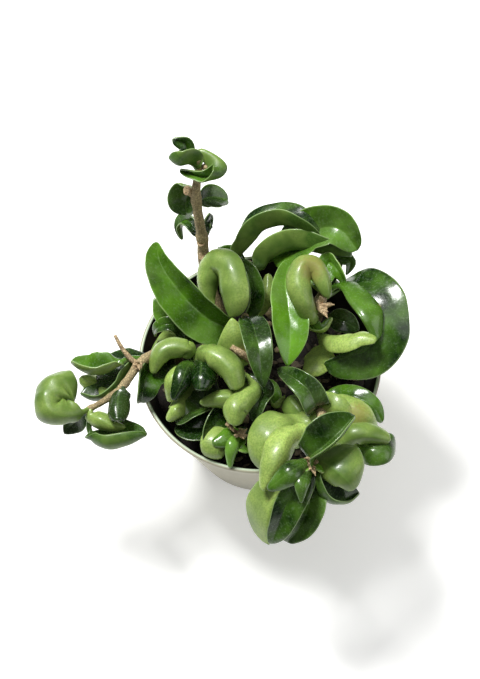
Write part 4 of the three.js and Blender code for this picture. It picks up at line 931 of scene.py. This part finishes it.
# The front right shoot: the fullest one, on a thick stem rooted at the front right. It hangs over the front
# rim, and its growing tip with a rosette of small leaves faces the camera.
shoot(
    "front_right_shoot",
    foot=[20, -12],
    path=[[23, -21, 76], [24, -38, 88], [20, -52, 93], [17, -61, 96]],
    radii=[2.6, 2.6, 2.6, 2.4, 2, 1.4],
    leaves={
        "pale round leaf": [0.5, [[25.5, -28.5, 84], [32, -32, 89], [38.5, -35.5, 90], [44, -39, 87],
            [47, -40, 80]],
            [0, 0.2, -1], [13, 6], dict(fold=[10, 10], curl=[25, 40], blunt=0.5, tone=0.2)],
        "dark back band": [0.45, [[32, -22.5, 78], [38, -26, 82], [45.5, -31.5, 83], [50, -37, 78]],
            [0, 0.1, 1], 11, dict(fold=15, curl=10, stalk=0.15, blunt=0.5, tone=0.7)],
        "speckled leaf": [0.45, [[21.5, -33, 92], [19, -28.5, 96], [14.5, -23.5, 96], [7, -15, 91]],
            [0, -0.3, 1], 12.5, dict(fold=18, curl=15, stalk=0.05, blunt=0.6, tone=0.8)],
        "pale inner leaf": [0.5, [[12, -24, 80], [15, -31, 82], [20, -37, 78]],
            [0, 0.5, -0.9], 12, dict(fold=15, curl=20, tone=0.55)],
        "round front leaf": [0.65, [[15, -38.5, 84], [8, -40.5, 90], [2, -46.5, 91], [-0.5, -52.5, 88],
            [1, -58.5, 82]],
            [0.2, 0.3, -0.9], 23, dict(fold=[10, 15], curl=30, blunt=0.5, tone=0.35)],
        "long front leaf": [0.75, [[16, -44.5, 93], [9.5, -48, 98], [5, -56, 100], [1.5, -63, 98],
            [-2.5, -69.5, 92]],
            [0, 0.5, -0.9], 17, dict(fold=15, curl=60, stalk=0.15, blunt=0.45, tone=0.08)],
        "dark boat": [0.97, [[17.5, -59, 100], [22.5, -56.5, 103], [28.5, -52.5, 106], [35.5, -46.5, 109]],
            [-0.2, -0.2, 1], [12, 10], dict(fold=[30, 65], curl=20, blunt=0.55, tone=0.8)],
        "glossy tip leaf": [0.97, [[8.5, -66.5, 103], [-1, -70.5, 96]],
            [-0.1, -0.2, 1], 11.5, dict(fold=-10, curl=-35, blunt=0.6, tone=0.75)],
        "tip bud": [0.98, [[15, -64, 98], [12, -66, 100]], [0.1, 0.4, 0.9], 4, dict(fold=30, tone=0.1)],
        "side bud": [0.98, [[20, -64, 98], [22, -66, 99]], [0.1, 0.4, 0.9], 4, dict(fold=30, tone=0.1)],
        "small tip leaf": [0.98, [[13, -71, 101], [12, -77, 96]],
            [0, -0.5, 0.9], 7, dict(fold=-10, curl=-30, tone=0.7)],
        "hanging pale leaf": [0.92, [[5, -69, 90], [0.5, -74, 86], [-1.5, -79.5, 80], [-1.5, -85.5, 72]],
            [0.4, 0.4, -0.8], [13, 2.5],
            dict(fold=[12, 20], curl=10, blunt=0.45, stalk=0.3, widest=1.1, tone=0.3)],
        "hanging dark leaf": [0.92, [[10.5, -69.5, 93], [6.5, -75, 90], [3, -81, 84], [-0.5, -87, 76]],
            [0, -0.5, 0.9], [7.5, 6], dict(fold=[15, 25], curl=15, blunt=0.5, tone=0.85)],
        "hanging right leaf": [0.92, [[17, -64.5, 86], [15.5, -74, 86], [11.5, -81, 80], [6, -85.5, 74]],
            [0.1, -0.5, 0.9], [8, 8], dict(fold=[30, 20], curl=25, blunt=0.38, tone=0.75)],
        "side roll": [0.72, [[30, -50.5, 92], [35, -51, 97], [42, -50.5, 97], [50.5, -51.5, 93]],
            [0, 0.5, -0.9], 21, dict(fold=10, curl=130, stalk=0.15, blunt=0.32, widest=1.1, tone=0.4)],
        "side lobe": [0.72, [[39.5, -49.5, 88], [42.5, -54, 92], [47, -53.5, 92], [52, -46, 87]],
            [0, -0.3, 0.9], [7, 7.5], dict(fold=-10, curl=[-30, -50], stalk=0.3, blunt=0.4, tone=0.75)],
        "pale shell": [0.95, [[22.5, -62, 99], [26.5, -66.5, 102], [30.5, -70.5, 101], [33, -73, 96]],
            [0, 0.5, -0.9], [7, 14], dict(fold=10, curl=40, stalk=0.05, blunt=0.42, tone=0.65)],
        "dark under leaf": [0.92, [[19.5, -68, 92], [22.5, -72.5, 88], [30, -73.5, 85], [36.5, -69.5, 84]],
            [0.1, 0.2, 0.9], [11, 5], dict(fold=[20, 70], curl=25, blunt=0.45, tone=0.9)],
        "pale middle leaf": [0.45, [[19.5, -33, 82], [25, -32.5, 88], [30.5, -35, 91], [36.5, -38, 89]],
            [0, 0.2, -1], 14, dict(fold=10, curl=30, blunt=0.45, tone=0.2)],
    },
    tufts=[[[17, -62, 98], [0, -0.5, 0.8], 4.5, 14]],
    bruises=[[[39, -37, 89], 6.5]],
)

# The left shoot: rooted by the left wall, it trails over the rim on a bare woody knee with a dried flower
# stalk, and ends in a round leaf curled right over.
shoot(
    "left_shoot",
    foot=[-37, 8],
    path=[[-39, 4.5, 76], [-47.5, -3, 86], [-52, -8, 89], [-56, -13.5, 88], [-60, -18, 87], [-67.5, -22, 84],
        [-76.5, -25, 81]],
    radii=[2.4, 2.4, 2.3, 2.4, 2.4, 2, 1.7, 1.4, 1.1],
    leaves={
        # painted shade: the curl is toned near the darkest, for the shade on its upper side
        "dark curl": [0.5, [[-58, -9.5, 85], [-60.5, -14, 83], [-65.5, -18, 82], [-71.5, -19.5, 81],
            [-78, -16.5, 82]],
            [-0.3, 0.35, 0.9], [6, 13], dict(fold=[65, 12], curl=[20, 15], blunt=0.45, tone=0.95)],
        "glossy rim leaf": [0.3, [[-49.5, -11.5, 84], [-51, -17.5, 83], [-53, -20.5, 77]],
            [0.1, -0.5, 0.9], [9, 7], dict(fold=[25, 30], curl=20, blunt=0.45, tone=0.8)],
        "glossy round leaf": [0.76, [[-60.5, -21.5, 88], [-61, -27.5, 89], [-61, -34, 90]],
            [0, -0.4, 0.9], 16, dict(fold=-15, curl=-80, blunt=0.42, stalk=0.12, tone=1)],
        "small bright leaf": [0.85, [[-71.5, -12.5, 80], [-74.5, -11.5, 83], [-78.5, -10, 83]],
            [0.3, -0.2, -0.9], 12, dict(fold=15, curl=50, blunt=0.42, tone=0.2)],
        "pale strip": [0.96, [[-73.5, -27, 82], [-69, -30, 83], [-64, -32.5, 82], [-58.5, -33, 80]],
            [0, 0.3, -1], 11, dict(fold=15, curl=60, widest=0.65, tone=0.35)],
        "lower boat": [0.96, [[-74.5, -32, 77], [-71, -36.5, 76], [-66, -39, 76], [-58.5, -39, 78],
            [-49.5, -36.5, 80]],
            [0.1, 0.3, 0.9], [14, 11],
            dict(fold=[10, 15], curl=[10, 125], blunt=0.5, stalk=0.28, tone=0.85)],
        "round end leaf": [0.97, [[-78, -27.5, 85], [-83.5, -29.5, 88], [-89, -27.5, 91], [-91, -21.5, 92],
            [-87.5, -13.5, 91], [-80.5, -8.5, 87]],
            [0.1, 0.4, -0.9], [18, 15], dict(fold=10, curl=80, blunt=0.35, widest=1.6, tone=0.6)],
        "dark end leaf": [0.97, [[-82, -26, 72], [-87, -29, 68]],
            [0, -0.5, 0.9], 11, dict(fold=15, curl=10, tone=0.9)],
        "pale boat": [0.6, [[-56, -5.5, 90], [-61.5, -9, 91], [-68, -11, 90], [-74.5, -10, 90],
            [-81, -5, 90]],
            [0, 0.3, 0.95], [6, 9], dict(fold=[70, 35], curl=15, blunt=0.5, stalk=0.3)],
    },
    stubs=[[[[-51, -9, 89], [-55, -6.5, 92], [-58.5, -2.5, 95], [-61, 2, 98]], [1.2, 1.1, 0.9, 0.7]]],
    marks=[[[-52.3, -9.3, 90.5], [0.1, -0.4, 0.9], 2]],
    tufts=[[[-52, -9, 91], [-0.2, 0, 1], 4, 5]],
)

# The table: a plain white card under the pot, matt, with the faint tooth of uncoated paper; it glows a
# little, as painted light that lifts the shadows on it and lights the leaves from below. The light is a
# window high behind on the left, a wide weak lamp overhead, a card on the right and faint white all round.
CARD_HALF = 3
LIT_HEIGHT = 0.08
WORLD_STRENGTH = 0.1
card, tree, shader = new_material("white_card_with_painted_glow")
place = add(tree, "TexCoord")["Object"]
tooth = add(tree, "TexNoise", {"Scale": 900, "Detail": 2}, {"Vector": place})
relief = add(tree, "Bump", {"Strength": 0.05, "Distance": 0.0001}, {"Height": tooth["Fac"]})
# painted light: the card's emission lifts the shadows on it and lights the leaves from below
dress(tree, shader, {
    "Base Color": linear("#f4f4f2"), "Roughness": 0.9,
    "Emission Color": linear("#ffffff"), "Emission Strength": 0.38,
}, {"Normal": relief[0]})
mesh = bpy.data.meshes.new("table")
corners = [(CARD_HALF * x, CARD_HALF * y, 0) for x, y in ((-1, -1), (1, -1), (1, 1), (-1, 1))]
mesh.from_pydata(corners, [], [(0, 1, 2, 3)])
mesh.materials.append(card)
table = bpy.data.objects.new("table", mesh)
bpy.context.scene.collection.objects.link(table)

# name, place in metres, side in metres, watts
for name, at, side, power in (
    ("window", (-0.25, 0.3, 0.8), 0.22, 9.8),
    ("overhead", (0.05, -0.05, 0.95), 0.6, 1.7),
    ("right_card", (0.6, -0.2, 0.4), 0.4, 0.9),
):
    light = bpy.data.lights.new(name, "AREA")
    light.size = side
    light.energy = power
    lamp = bpy.data.objects.new(name, light)
    lamp.location = at
    lamp.rotation_mode = "QUATERNION"
    lamp.rotation_quaternion = (Vector(at) - Vector((0, 0, LIT_HEIGHT))).to_track_quat("Z", "Y")
    bpy.context.scene.collection.objects.link(lamp)
world = bpy.data.worlds.new("studio")
bpy.context.scene.world = world
world.use_nodes = True
tree = world.node_tree
dress(tree, tree.nodes["Background"], {"Color": linear("#ffffff"), "Strength": WORLD_STRENGTH})
bpy.context.scene.view_settings.view_transform = "Standard"

# The camera: a standard lens half a metre away, from the front and well above, tilted a little on its axis.
# Its place was fitted to the rim and the base of the pot.
CAMERA_AIM = np.array([-8.1, 10.1, 72])
CAMERA_DISTANCE = 500
CAMERA_ELEVATION = math.radians(62.02)
CAMERA_ROLL = -0.06
PHOTO_HEIGHT = 679
FOCAL_PIXELS = 1115.8
back = np.array([0, -math.cos(CAMERA_ELEVATION), math.sin(CAMERA_ELEVATION)])
level = np.array([1, 0, 0])
upright = np.array([0, math.sin(CAMERA_ELEVATION), math.cos(CAMERA_ELEVATION)])
right = level * math.cos(CAMERA_ROLL) + upright * math.sin(CAMERA_ROLL)
up = upright * math.cos(CAMERA_ROLL) - level * math.sin(CAMERA_ROLL)
stand = (CAMERA_AIM + back * CAMERA_DISTANCE) / 1000
lens = bpy.data.cameras.new("camera")
lens.sensor_width = 36
lens.lens = FOCAL_PIXELS / PHOTO_HEIGHT * lens.sensor_width
lens.clip_start = 0.01
camera = bpy.data.objects.new("camera", lens)
bpy.context.scene.collection.objects.link(camera)
camera.matrix_world = Matrix([*np.column_stack([right, up, back, stand]), [0, 0, 0, 1]])
bpy.context.scene.camera = camera
